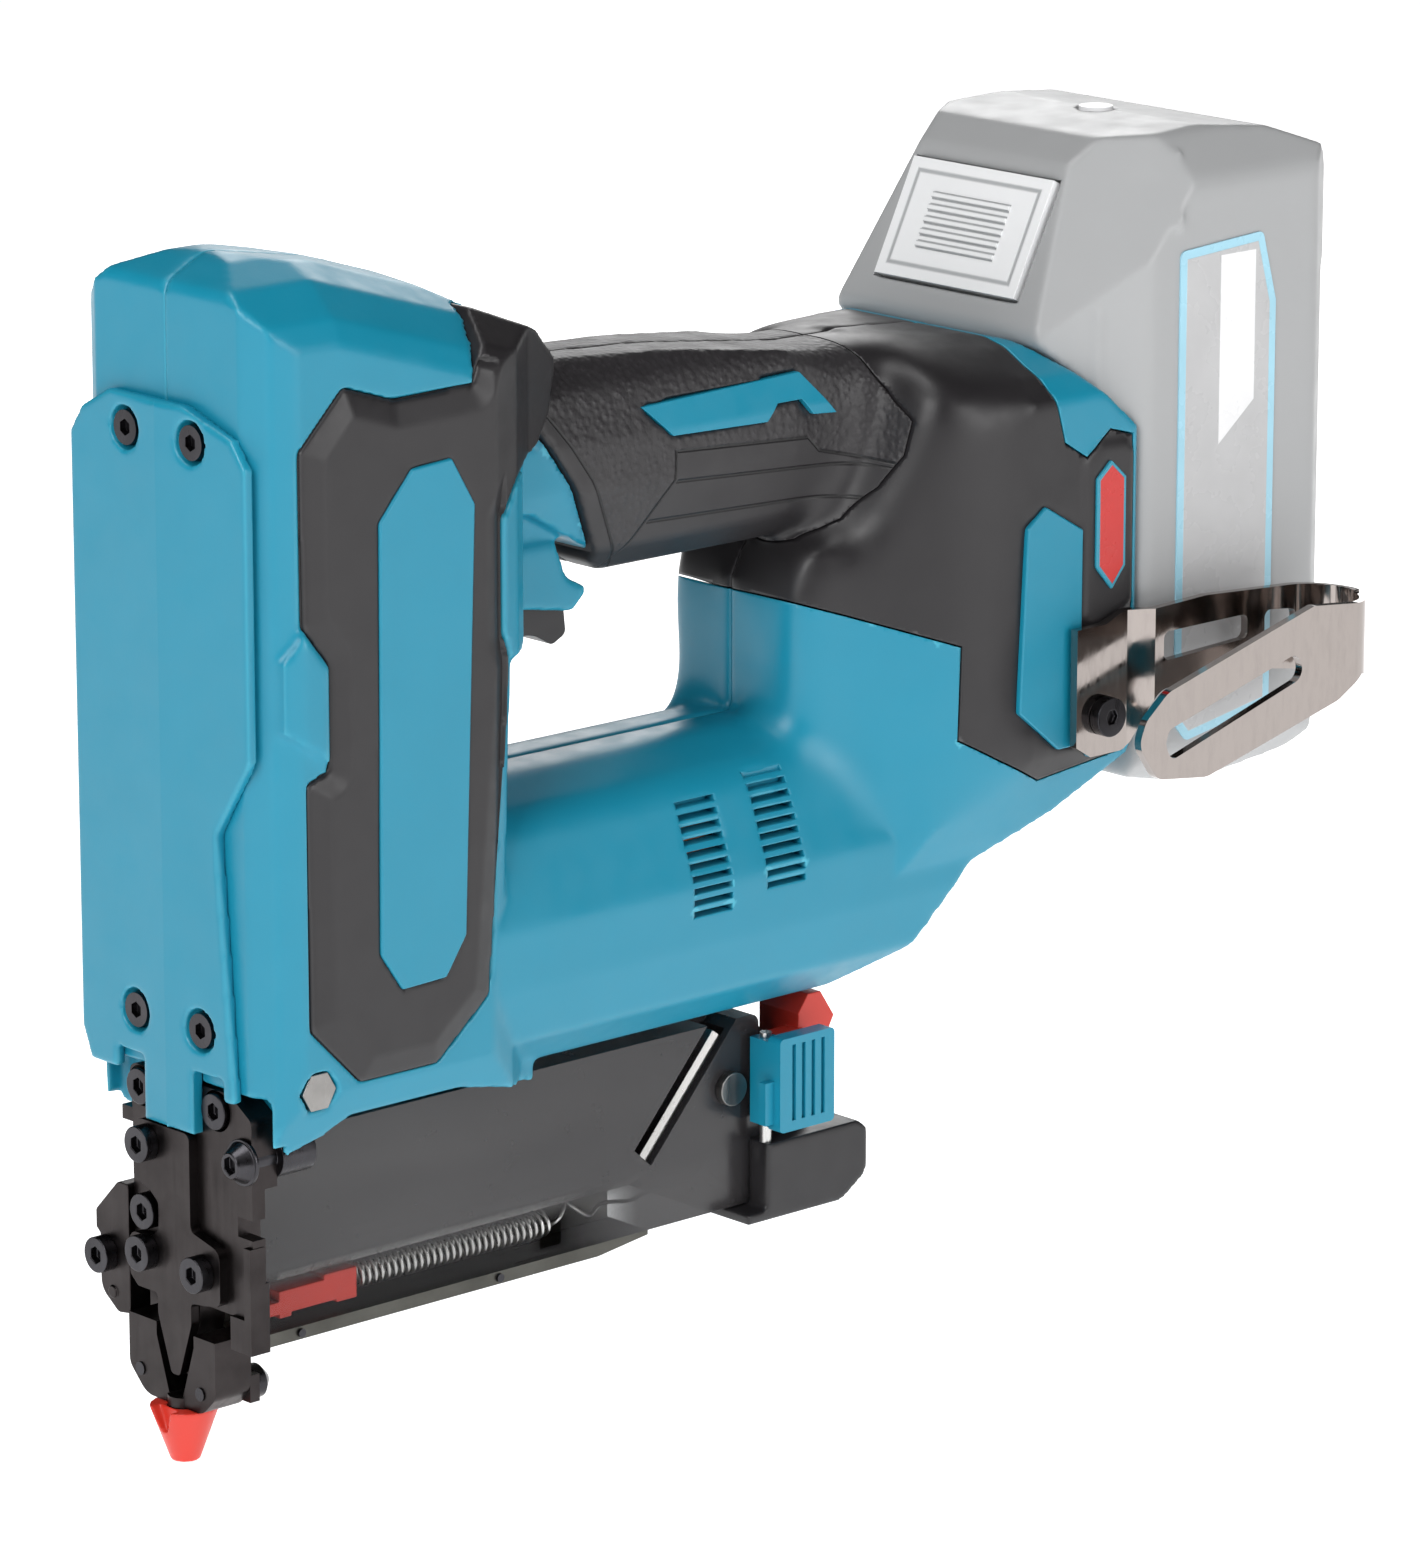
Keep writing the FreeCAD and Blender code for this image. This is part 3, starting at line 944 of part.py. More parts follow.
os.makedirs("parts", exist_ok=True)
for name, piece in nodes.items():
    piece.Shape.exportStep(f"parts/{name}.step")
    extent = piece.Shape.BoundBox
    print(f"{name:18s} solids {len(piece.Shape.Solids):2d} volume {piece.Shape.Volume:9.0f} "
          f"X {extent.XMin:6.1f} {extent.XMax:6.1f} Y {extent.YMin:6.1f} {extent.YMax:6.1f} "
          f"Z {extent.ZMin:6.1f} {extent.ZMax:6.1f}")
print(len(nodes), "nodes")
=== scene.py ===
"""Looks of the cordless brad nailer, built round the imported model.

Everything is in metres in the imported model's frame: +X from the nose to the battery,
+Y to the operator's right, +Z up. Sizes below are given in millimetres through MM.
"""
import bpy
import bmesh
import json
import math
from mathutils import Matrix, Vector


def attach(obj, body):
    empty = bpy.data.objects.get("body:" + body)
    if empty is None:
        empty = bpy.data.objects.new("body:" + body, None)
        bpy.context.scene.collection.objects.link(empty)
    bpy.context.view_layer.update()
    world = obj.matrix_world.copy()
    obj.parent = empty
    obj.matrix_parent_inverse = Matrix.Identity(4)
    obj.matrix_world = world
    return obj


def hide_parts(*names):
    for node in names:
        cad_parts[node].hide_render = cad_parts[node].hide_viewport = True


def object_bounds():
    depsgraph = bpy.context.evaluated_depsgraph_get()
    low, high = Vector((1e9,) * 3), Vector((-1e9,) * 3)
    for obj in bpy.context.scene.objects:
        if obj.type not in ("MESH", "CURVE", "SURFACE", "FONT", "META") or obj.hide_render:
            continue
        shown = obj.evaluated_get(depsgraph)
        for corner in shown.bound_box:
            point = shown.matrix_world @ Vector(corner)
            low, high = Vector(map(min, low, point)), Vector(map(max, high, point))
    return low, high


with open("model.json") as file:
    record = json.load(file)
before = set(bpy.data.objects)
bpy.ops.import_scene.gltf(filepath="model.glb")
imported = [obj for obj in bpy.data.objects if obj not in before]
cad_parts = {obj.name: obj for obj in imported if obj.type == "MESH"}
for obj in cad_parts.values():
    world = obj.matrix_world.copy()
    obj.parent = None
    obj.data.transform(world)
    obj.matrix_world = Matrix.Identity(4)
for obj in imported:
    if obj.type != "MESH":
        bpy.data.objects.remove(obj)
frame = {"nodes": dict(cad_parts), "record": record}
cad_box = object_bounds()

MM = 0.001
BODY_OF = {node: body for body, members in frame["record"]["behaviour"]["bodies"].items()
           for node in members}


# ---------------------------------------------------------------- materials
def srgb(red, green, blue):
    """A colour given as 0 to 255 in sRGB, as linear values."""
    linear = []
    for channel in (red, green, blue):
        value = channel / 255
        linear.append(value / 12.92 if value <= 0.04045 else ((value + 0.055) / 1.055) ** 2.4)
    return linear + [1.0]


class Nodes:
    """Short calls for building one material's node tree."""

    def __init__(self, name):
        self.material = bpy.data.materials.new("look_" + name)
        self.material.use_nodes = True
        self.tree = self.material.node_tree
        self.shader = self.tree.nodes["Principled BSDF"]
        coordinates = self.tree.nodes.new("ShaderNodeTexCoord")
        self.position = coordinates.outputs["Object"]

    def link(self, source, target):
        self.tree.links.new(source, target)

    def noise(self, scale, detail=3.0, roughness=0.55, stretch=None):
        """Noise with about scale cells to a metre, fewer along an axis stretched below 1."""
        texture = self.tree.nodes.new("ShaderNodeTexNoise")
        texture.inputs["Scale"].default_value = scale
        texture.inputs["Detail"].default_value = detail
        texture.inputs["Roughness"].default_value = roughness
        self.link(self.stretched(stretch), texture.inputs["Vector"])
        return texture.outputs["Fac"]

    def stretched(self, stretch):
        if stretch is None:
            return self.position
        mapping = self.tree.nodes.new("ShaderNodeMapping")
        mapping.inputs["Scale"].default_value = stretch
        self.link(self.position, mapping.inputs["Vector"])
        return mapping.outputs["Vector"]

    def cells(self, scale):
        """Distance to the middle of the nearest cell, of about scale cells to a metre."""
        texture = self.tree.nodes.new("ShaderNodeTexVoronoi")
        texture.feature = "SMOOTH_F1"
        texture.inputs["Scale"].default_value = scale
        self.link(self.position, texture.inputs["Vector"])
        return texture.outputs["Distance"]

    def ramp(self, value, low, high, start=0.0, end=1.0):
        """Value from start..end mapped onto low..high, and held at those ends."""
        node = self.tree.nodes.new("ShaderNodeMapRange")
        node.inputs["From Min"].default_value = start
        node.inputs["From Max"].default_value = end
        node.inputs["To Min"].default_value = low
        node.inputs["To Max"].default_value = high
        self.link(value, node.inputs["Value"])
        return node.outputs["Result"]

    def math(self, operation, first, second=0.0):
        """One sum of two values, each a number or another node's output."""
        node = self.tree.nodes.new("ShaderNodeMath")
        node.operation = operation
        for socket, value in zip(node.inputs, (first, second)):
            if isinstance(value, (int, float)):
                socket.default_value = value
            else:
                self.link(value, socket)
        return node.outputs[0]

    def axes(self):
        """The piece's own X, Y and Z in millimetres."""
        scaled = self.tree.nodes.new("ShaderNodeVectorMath")
        scaled.operation = "SCALE"
        scaled.inputs["Scale"].default_value = 1000.0
        self.link(self.position, scaled.inputs[0])
        split = self.tree.nodes.new("ShaderNodeSeparateXYZ")
        self.link(scaled.outputs["Vector"], split.inputs[0])
        return split.outputs

    def line(self, along, start, slope):
        """The height of a straight line over along: start[1] at start[0], rising by slope."""
        offset = self.math("SUBTRACT", along, start[0])
        return self.math("ADD", self.math("MULTIPLY", offset, slope), start[1])

    def mix(self, factor, first, second):
        """A colour from first to second as factor goes from 0 to 1."""
        node = self.tree.nodes.new("ShaderNodeMix")
        node.data_type = "RGBA"
        self.link(factor, node.inputs["Factor"])
        for socket, value in ((node.inputs["A"], first), (node.inputs["B"], second)):
            if isinstance(value, list):
                socket.default_value = value
            else:
                self.link(value, socket)
        return node.outputs["Result"]

    def bump(self, height, strength, distance):
        """Small relief from a height between 0 and 1, distance metres deep."""
        node = self.tree.nodes.new("ShaderNodeBump")
        node.inputs["Strength"].default_value = strength
        node.inputs["Distance"].default_value = distance
        self.link(height, node.inputs["Height"])
        self.link(node.outputs["Normal"], self.shader.inputs["Normal"])

    def edge_highlight_mask(self):
        """Near 1 along convex edges and 0 elsewhere: the mask of a painted highlight along edges."""
        geometry = self.tree.nodes.new("ShaderNodeNewGeometry")
        return self.ramp(geometry.outputs["Pointiness"], 0.0, 1.0, 0.52, 0.60)

    def set(self, **values):
        """Sets the shader's sockets by name, with _ for each space."""
        for name, value in values.items():
            self.shader.inputs[name.replace("_", " ")].default_value = value


def moulded_plastic(name, colour, roughness, edge=None, highlight_strength=0.0):
    """Injection-moulded plastic: fine grain, faint mottling and perhaps a painted highlight, a paler
    colour along convex edges.
    """
    made = Nodes(name)
    made.set(Specular_IOR_Level=0.45)
    mottle = made.ramp(made.noise(45.0, 4.0), 0.0, 0.22, 0.35, 0.75)
    darker = [channel * 0.82 for channel in colour[:3]] + [1.0]
    base = made.mix(mottle, colour, darker)
    if edge:
        # Painted highlight: the paler edge colour is mixed in along convex edges, scaled by the
        # strength given.
        base = made.mix(made.math("MULTIPLY", made.edge_highlight_mask(), highlight_strength), base, edge)
    made.link(base, made.shader.inputs["Base Color"])
    made.link(made.ramp(made.noise(160.0, 3.0), roughness - 0.05, roughness + 0.07, 0.3, 0.7),
              made.shader.inputs["Roughness"])
    made.bump(made.noise(2600.0, 2.0, 0.6), 0.35, 0.00003)
    return made.material


def stippled_rubber(name, colour):
    """Soft rubber with a leather-like stipple of small raised cells, whose tops are painted paler as a
    painted highlight.
    """
    made = Nodes(name)
    height = stipple(made)
    # Painted highlight: the raised cells' tops are painted paler than the rubber.
    paler = [min(channel * 1.9, 1.0) for channel in colour[:3]] + [1.0]
    made.link(made.mix(made.ramp(height, 0.0, 0.5, 0.6, 1.3), colour, paler),
              made.shader.inputs["Base Color"])
    made.link(made.ramp(made.noise(120.0), 0.50, 0.62, 0.3, 0.7), made.shader.inputs["Roughness"])
    made.bump(height, 0.6, 0.00022)
    return made.material


def stipple(made):
    """The height of a leather-like stipple: small raised cells with crinkles."""
    cells = made.cells(780.0)
    crinkle = made.math("MULTIPLY", made.noise(900.0, 3.0), 0.5)
    return made.math("ADD", made.ramp(cells, 1.0, 0.0, 0.0, 0.7), crinkle)


def grip_rubber(name, colour):
    """The grip's rubber: stippled, with a smooth front border and a smooth grooved lower panel; the
    grooves are painted shade and the stipple's raised tops a painted highlight.
    """
    made = Nodes(name)
    along, _, up = made.axes()
    top = made.math("MINIMUM", made.line(along, (110.4, 181.5), -0.061),
                    made.math("MAXIMUM", made.line(along, (144.7, 179.4), -0.94),
                              made.line(along, (148.0, 176.3), -0.25)))
    below_top = made.math("SUBTRACT", top, up)
    front = made.math("MINIMUM", made.line(up, (176.0, 110.2), 0.8), 110.2)
    inside = made.math("MINIMUM", below_top, made.math("SUBTRACT", along, front))
    border = made.math("SUBTRACT", along, made.math("MINIMUM",
                                                    made.line(up, (178.8, 89.0), -0.7315),
                                                    made.line(up, (178.8, 89.0), -0.5425)))
    smooth = made.math("MAXIMUM", made.ramp(inside, 0.0, 1.0, -0.15, 0.15),
                       made.ramp(border, 1.0, 0.0, -0.15, 0.15))
    edges = [made.math("ABSOLUTE", inside), made.math("ABSOLUTE", border)]
    for start, slope in (((110.2, 175.5), -0.061), ((105.9, 168.1), -0.036)):
        gap = made.math("ABSOLUTE", made.math("SUBTRACT", up, made.line(along, start, slope)))
        outside = made.ramp(inside, 2.0, 0.0, 0.0, 1.0)
        edges.append(made.math("ADD", gap, outside))
    nearest = edges[0]
    for edge in edges[1:]:
        nearest = made.math("MINIMUM", nearest, edge)
    groove = made.ramp(nearest, 0.0, 1.0, 0.12, 0.45)
    grain = made.math("MULTIPLY", stipple(made), made.ramp(smooth, 1.0, 0.0))
    # The paler tone on the stipple's raised tops is a painted highlight; the darker tone in the grooves
    # is painted shade.
    paler = [min(channel * 2.0, 1.0) for channel in colour[:3]] + [1.0]
    darker = [channel * 0.35 for channel in colour[:3]] + [1.0]
    tint = made.mix(made.ramp(grain, 0.0, 0.5, 0.5, 1.3), colour, paler)
    made.link(made.mix(groove, darker, tint), made.shader.inputs["Base Color"])
    made.link(made.ramp(made.noise(120.0), 0.42, 0.54, 0.3, 0.7), made.shader.inputs["Roughness"])
    made.bump(made.math("ADD", grain, made.math("MULTIPLY", groove, 1.5)), 0.7, 0.00022)
    return made.material


def oxide_steel(name, colour, roughness=0.34, brushed=(1.0, 1.0, 0.08)):
    """Black-oxide or ground steel: metallic, with faint machining lines and handling marks."""
    made = Nodes(name)
    made.set(Metallic=1.0)
    lines = made.noise(700.0, 4.0, 0.6, brushed)
    smudge = made.noise(90.0, 4.0)
    paler = [min(channel * 1.7 + 0.01, 1.0) for channel in colour[:3]] + [1.0]
    made.link(made.mix(made.ramp(smudge, 0.0, 0.6, 0.35, 0.75), colour, paler),
              made.shader.inputs["Base Color"])
    made.link(made.ramp(lines, roughness - 0.08, roughness + 0.12, 0.25, 0.75),
              made.shader.inputs["Roughness"])
    made.bump(lines, 0.18, 0.00003)
    return made.material


def polished_metal(name, colour, roughness):
    """Plated or polished metal with soft ripples and fine scuffs."""
    made = Nodes(name)
    made.set(Metallic=1.0)
    scuff = made.noise(600.0, 5.0, 0.7, (1.0, 1.0, 0.25))
    duller = [channel * 0.8 for channel in colour[:3]] + [1.0]
    made.link(made.mix(made.ramp(scuff, 0.0, 0.5, 0.45, 0.8), colour, duller),
              made.shader.inputs["Base Color"])
    made.link(made.ramp(scuff, roughness - 0.03, roughness + 0.09, 0.3, 0.8),
              made.shader.inputs["Roughness"])
    made.bump(made.noise(35.0, 2.0), 0.25, 0.0003)
    return made.material


def smoked_plastic(name):
    """Dark translucent moulding, thinnest low down in front, where the pusher shows through."""
    made = Nodes(name)
    along, _, up = made.axes()
    low_band = made.ramp(up, 1.0, 0.0, 34.0, 38.0)
    in_front = made.ramp(along, 1.0, 0.0, 86.0, 104.0)
    thin = made.math("MULTIPLY", low_band, in_front)
    made.link(made.ramp(thin, 0.90, 0.14), made.shader.inputs["Alpha"])
    streak = made.noise(60.0, 3.0, 0.5, (0.25, 1.0, 1.0))
    made.link(made.mix(made.ramp(streak, 0.0, 1.0, 0.35, 0.7), srgb(44, 42, 44), srgb(58, 56, 57)),
              made.shader.inputs["Base Color"])
    made.link(made.ramp(made.noise(220.0), 0.16, 0.28, 0.3, 0.7), made.shader.inputs["Roughness"])
    made.bump(made.noise(1500.0, 2.0), 0.06, 0.00002)
    return made.material


# The latch's middle and its upward direction along the sloping front, as (x, z).
LATCH_MIDDLE = (203.6, 211.2)
LATCH_UPWARD = (0.4415, 0.8973)


def latch_plastic(name, colour, shade):
    """The latch button's pale plastic, with a framing groove and a patch of fine ribs, both drawn as
    painted shade lines in the darker shade colour, which also gives the faint mottle.
    """
    made = Nodes(name)
    along, across, up = made.axes()
    height = made.math("ADD",
                       made.math("MULTIPLY", made.math("SUBTRACT", along, LATCH_MIDDLE[0]),
                                 LATCH_UPWARD[0]),
                       made.math("MULTIPLY", made.math("SUBTRACT", up, LATCH_MIDDLE[1]),
                                 LATCH_UPWARD[1]))
    wide, tall = made.math("ABSOLUTE", across), made.math("ABSOLUTE", height)

    def beyond(half_width, half_height):
        """Distance outside a rectangle about the latch's middle, below 0 inside it."""
        return made.math("MAXIMUM", made.math("SUBTRACT", wide, half_width),
                         made.math("SUBTRACT", tall, half_height))

    ribs = made.ramp(made.math("PINGPONG", made.math("ADD", height, 0.65), 0.65),
                     1.0, 0.0, 0.10, 0.35)
    patch = made.math("MULTIPLY", ribs, made.ramp(beyond(11.0, 6.0), 1.0, 0.0, -0.05, 0.05))
    framing = made.ramp(made.math("ABSOLUTE", beyond(17.2, 9.8)), 1.0, 0.0, 0.2, 0.6)
    grooves = made.math("MAXIMUM", patch, framing)
    mottle = made.ramp(made.noise(30.0, 4.0), 0.0, 0.08, 0.35, 0.75)
    tint = made.mix(mottle, colour, shade)
    # Painted shade: the framing groove and the lines between the ribs are painted in the darker shade
    # colour.
    made.link(made.mix(grooves, tint, shade), made.shader.inputs["Base Color"])
    made.link(made.ramp(made.noise(140.0), 0.30, 0.42, 0.3, 0.7), made.shader.inputs["Roughness"])
    made.bump(made.ramp(grooves, 1.0, 0.0), 0.6, 0.0003)
    return made.material


def pack_plastic(name, colour, roughness):
    """The pack's pale satin plastic."""
    made = Nodes(name)
    made.set(Specular_IOR_Level=0.3)
    mottle = made.ramp(made.noise(30.0, 4.0), 0.0, 0.12, 0.35, 0.75)
    darker = [channel * 0.85 for channel in colour[:3]] + [1.0]
    made.link(made.mix(mottle, colour, darker), made.shader.inputs["Base Color"])
    made.link(made.ramp(made.noise(140.0), roughness - 0.06, roughness + 0.06, 0.3, 0.7),
              made.shader.inputs["Roughness"])
    made.bump(made.noise(2400.0, 2.0), 0.2, 0.00002)
    return made.material


def inside_outline(made, outline):
    """Distance inside a convex outline of (x, z) points that runs anticlockwise."""
    along, _, up = made.axes()
    nearest = None
    for index, start in enumerate(outline):
        end = outline[(index + 1) % len(outline)]
        length = math.dist(start, end)
        leftward = (-(end[1] - start[1]) / length, (end[0] - start[0]) / length)
        reach = made.math("ADD",
                          made.math("MULTIPLY", made.math("SUBTRACT", along, start[0]), leftward[0]),
                          made.math("MULTIPLY", made.math("SUBTRACT", up, start[1]), leftward[1]))
        nearest = reach if nearest is None else made.math("MINIMUM", nearest, reach)
    return nearest


def bordered(name, outline, width, border, field, inlay=None):
    """A plain film or plate with a coloured border, and perhaps one inlaid patch."""
    made = Nodes(name)
    inside = made.ramp(inside_outline(made, outline), 0.0, 1.0, width - 0.08, width + 0.08)
    tint = field
    if inlay:
        patch, patch_colour = inlay
        tint = made.mix(made.ramp(inside_outline(made, patch), 0.0, 1.0, -0.08, 0.08), field,
                        patch_colour)
    base = made.mix(inside, border, tint)
    mottle = made.ramp(made.noise(60.0, 4.0), 0.0, 0.10, 0.35, 0.75)
    made.link(made.mix(mottle, base, [0.0, 0.0, 0.0, 1.0]), made.shader.inputs["Base Color"])
    made.link(made.ramp(made.noise(140.0), 0.22, 0.34, 0.3, 0.7), made.shader.inputs["Roughness"])
    made.bump(made.ramp(inside, 0.0, 1.0), 0.5, 0.0001)
    return made.material


TEAL = moulded_plastic("teal_plastic", srgb(20, 132, 160), 0.36)
# The shell materials carry a painted highlight: a paler teal and a paler grey painted along convex
# edges.
TEAL_SHELL = moulded_plastic("teal_shell", srgb(20, 132, 160), 0.36, srgb(84, 184, 206), 0.55)
BLACK = moulded_plastic("black_plastic", srgb(33, 31, 33), 0.40)
BLACK_SHELL = moulded_plastic("black_shell", srgb(33, 31, 33), 0.40, srgb(88, 86, 88), 0.5)
RUBBER = grip_rubber("grip_rubber", srgb(38, 36, 38))
RED = moulded_plastic("red_plastic", srgb(205, 52, 38), 0.34)
SMOKED = smoked_plastic("smoked_plastic")
BLACK_STEEL = oxide_steel("black_steel", srgb(50, 46, 46))
SCREW_STEEL = oxide_steel("screw_steel", srgb(58, 57, 60), 0.28)
PLATED_STEEL = oxide_steel("plated_steel", srgb(128, 126, 124), 0.30)
RAIL_STEEL = oxide_steel("rail_steel", srgb(74, 73, 69), 0.32, (0.05, 1.0, 1.0))
BRIGHT_STEEL = polished_metal("bright_steel", srgb(200, 199, 197), 0.28)
NICKEL = polished_metal("nickel", srgb(158, 150, 146), 0.08)
BRASS = polished_metal("brass_wire", srgb(190, 165, 105), 0.25)
PACK_GREY = pack_plastic("pack_grey", srgb(166, 167, 168), 0.34)
PACK_WHITE = pack_plastic("pack_white", srgb(252, 252, 253), 0.32)
# The second colour is the latch's painted shade in its groove and between its ribs, and also its faint
# mottle.
LATCH = latch_plastic("latch_plastic", srgb(240, 241, 242), srgb(176, 178, 180))
LABEL = bordered("label_film",
                 [(226.5, 112), (230, 108), (254, 112), (254, 195.5), (250, 210), (226.5, 208.5)],
                 1.8, srgb(160, 208, 226), srgb(186, 186, 187),
                 ([(238, 168), (248, 176), (248, 206.5), (238, 206.5)], srgb(236, 236, 237)))
EMBLEM = bordered("emblem_plate",
                  [(206.8, 143.2), (210.5, 147.6), (210.5, 165.8), (206.4, 169.5), (202.4, 166.2),
                   (202.4, 148.2)], 0.75, srgb(40, 140, 165), srgb(196, 40, 36))
CELL = pack_plastic("cell_wrap", srgb(90, 140, 190), 0.3)
COPPER = polished_metal("copper_windings", srgb(190, 110, 70), 0.3)
ALUMINIUM = polished_metal("cast_aluminium", srgb(190, 191, 193), 0.35)
DAMPER = stippled_rubber("damper_rubber", srgb(62, 62, 62))
CIRCUIT = pack_plastic("circuit", srgb(40, 120, 70), 0.35)

SLOT_MATERIALS = {material.name.removeprefix("look_"): material for material in (
    TEAL, BLACK, RUBBER, RED, SMOKED, BLACK_STEEL, SCREW_STEEL, RAIL_STEEL, BRIGHT_STEEL,
    NICKEL, BRASS, PACK_GREY, PACK_WHITE, LABEL, CELL, COPPER, ALUMINIUM, DAMPER, CIRCUIT)}
OWN_MATERIAL = {"emblem_plates": EMBLEM, "battery_latch": LATCH, "foot_rivets": SCREW_STEEL,
                "rail_rivets": SCREW_STEEL, "head_bolt": PLATED_STEEL,
                "magazine_bolt": PLATED_STEEL, "trigger_pin": SCREW_STEEL}
SLOT_OF = {entry["node"]: entry["material_slot"] for entry in frame["record"]["subparts"]}


def paint(piece, material):
    """Gives a piece one material."""
    piece.data.materials.clear()
    piece.data.materials.append(material)


def material_of(node):
    """The material of a CAD node: its own, or else its slot's."""
    return OWN_MATERIAL.get(node, SLOT_MATERIALS[SLOT_OF[node]])


for node_name, node_object in frame["nodes"].items():
    for material_slot in node_object.material_slots:
        material_slot.link = "OBJECT"
        material_slot.material = material_of(node_name)


# ---------------------------------------------------------------- softened pieces
def new_object(name, mesh):
    """An object in the scene that shows a mesh."""
    piece = bpy.data.objects.new(name, mesh)
    bpy.context.scene.collection.objects.link(piece)
    return piece


def apply_modifiers(piece):
    """Turns the modified shape into the piece's own mesh."""
    graph = bpy.context.evaluated_depsgraph_get()
    mesh = bpy.data.meshes.new_from_object(piece.evaluated_get(graph))
    old = piece.data
    piece.modifiers.clear()
    piece.data = mesh
    bpy.data.meshes.remove(old)


def node_bmesh(*names):
    """The meshes of CAD nodes in one bmesh, in the shared frame."""
    bm = bmesh.new()
    for name in names:
        bm.from_mesh(frame["nodes"][name].data)
    return bm


def add_block(bm, low, high, facing=(0, 0, 1)):
    """Adds a closed block, corners in millimetres, turned about its middle to face a direction."""
    size = [(top - bottom) * MM for bottom, top in zip(low, high)]
    middle = [(top + bottom) / 2 * MM for bottom, top in zip(low, high)]
    turn = Vector(facing).to_track_quat("Z", "Y").to_matrix().to_4x4()
    matrix = Matrix.Translation(middle) @ turn @ Matrix.Diagonal(size + [1.0])
    bmesh.ops.create_cube(bm, size=1.0, matrix=matrix)


def stand_in_for(piece, node, material=None):
    """Paints a piece and puts it in the CAD node's place and body."""
    paint(piece, material or material_of(node))
    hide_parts(node)
    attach(piece, BODY_OF[node])
    return piece


BLEND_ROUNDS = 400


def even_mesh(name, nodes, voxel, rounds, fillers=(), blend=None):
    """The nodes' joint form with its edges eased: its mesh is made even, then relaxed.

    Blend gives each point, in millimetres, a weight from 0 to 1 for a longer relaxing.
    """
    bm = node_bmesh(*nodes)
    for filler in fillers:
        add_block(bm, *filler)
    mesh = bpy.data.meshes.new(name)
    bm.to_mesh(mesh)
    bm.free()
    piece = new_object(name, mesh)
    remesh = piece.modifiers.new("even", "REMESH")
    remesh.mode = "VOXEL"
    remesh.voxel_size = voxel * MM
    remesh.use_smooth_shade = True
    relax = piece.modifiers.new("relax", "SMOOTH")
    relax.factor = 0.5
    relax.iterations = rounds
    apply_modifiers(piece)
    if blend:
        group = piece.vertex_groups.new(name="blend")
        for vertex in piece.data.vertices:
            weight = blend(*(coordinate / MM for coordinate in vertex.co))
            if weight > 0:
                group.add([vertex.index], weight, "REPLACE")
        longer = piece.modifiers.new("blend", "SMOOTH")
        longer.factor = 0.5
        longer.iterations = BLEND_ROUNDS
        longer.vertex_group = "blend"
        apply_modifiers(piece)
    return piece


def soften(name, node, voxel, rounds, material=None):
    """One node's form with its edges eased."""
    return stand_in_for(even_mesh(name, [node], voxel, rounds), node, material)


def bevelled(name, node, width):
    """The node's form with every sharp edge rounded by a small bevel."""
    bm = node_bmesh(node)
    bmesh.ops.remove_doubles(bm, verts=bm.verts, dist=0.000001)
    bmesh.ops.dissolve_limit(bm, angle_limit=math.radians(1.0), verts=bm.verts, edges=bm.edges)
    for face in bm.faces:
        face.smooth = True
    mesh = bpy.data.meshes.new(name)
    bm.to_mesh(mesh)
    bm.free()
    piece = new_object(name, mesh)
    bevel = piece.modifiers.new("edges", "BEVEL")
    bevel.width = width * MM
    bevel.segments = 2
    bevel.limit_method = "ANGLE"
    bevel.angle_limit = math.radians(30.0)
    weighted = piece.modifiers.new("flat_faces", "WEIGHTED_NORMAL")
    weighted.weight = 100
    apply_modifiers(piece)
    return stand_in_for(piece, node)


def offset_outline(outline, distance):
    """An anticlockwise outline moved outwards by distance, or inwards if it is negative."""
    moved = []
    for index, here in enumerate(outline):
        before, after = outline[index - 1], outline[(index + 1) % len(outline)]
        sides = []
        for start, end in ((before, here), (here, after)):
            length = math.dist(start, end)
            sides.append(((end[1] - start[1]) / length, -(end[0] - start[0]) / length))
        share = 1 + sides[0][0] * sides[1][0] + sides[0][1] * sides[1][1]
        moved.append((here[0] + distance * (sides[0][0] + sides[1][0]) / share,
                      here[1] + distance * (sides[0][1] + sides[1][1]) / share))
    return moved


SLAB_HALF_WIDTH = 50


def slab(outline):
    """A closed slab over an (x, z) outline, wider than the housing from side to side."""
    bm = bmesh.new()
    rings = [[bm.verts.new((along * MM, side * MM, up * MM)) for along, up in outline]
             for side in (-SLAB_HALF_WIDTH, SLAB_HALF_WIDTH)]
    bm.faces.new(rings[0])
    bm.faces.new(list(reversed(rings[1])))
    for index in range(len(outline)):
        following = (index + 1) % len(outline)
        bm.faces.new((rings[0][following], rings[0][index], rings[1][index], rings[1][following]))
    bmesh.ops.triangulate(bm, faces=bm.faces)
    bmesh.ops.recalc_face_normals(bm, faces=bm.faces)
    mesh = bpy.data.meshes.new("slab")
    bm.to_mesh(mesh)
    bm.free()
    return new_object("slab", mesh)


def trim(piece, operation, cutter):
    """Cuts a piece by a closed cutter, which is then thrown away."""
    boolean = piece.modifiers.new("trim", "BOOLEAN")
    boolean.operation = operation
    boolean.solver = "MANIFOLD"
    boolean.object = cutter
    apply_modifiers(piece)
    bpy.data.objects.remove(cutter)


def cut_slots(piece, blocks):
    """Cuts a set of separate blocks, corners in millimetres, out of a piece."""
    bm = bmesh.new()
    for block in blocks:
        add_block(bm, *block)
    mesh = bpy.data.meshes.new("slots")
    bm.to_mesh(mesh)
    bm.free()
    trim(piece, "DIFFERENCE", new_object("slots", mesh))


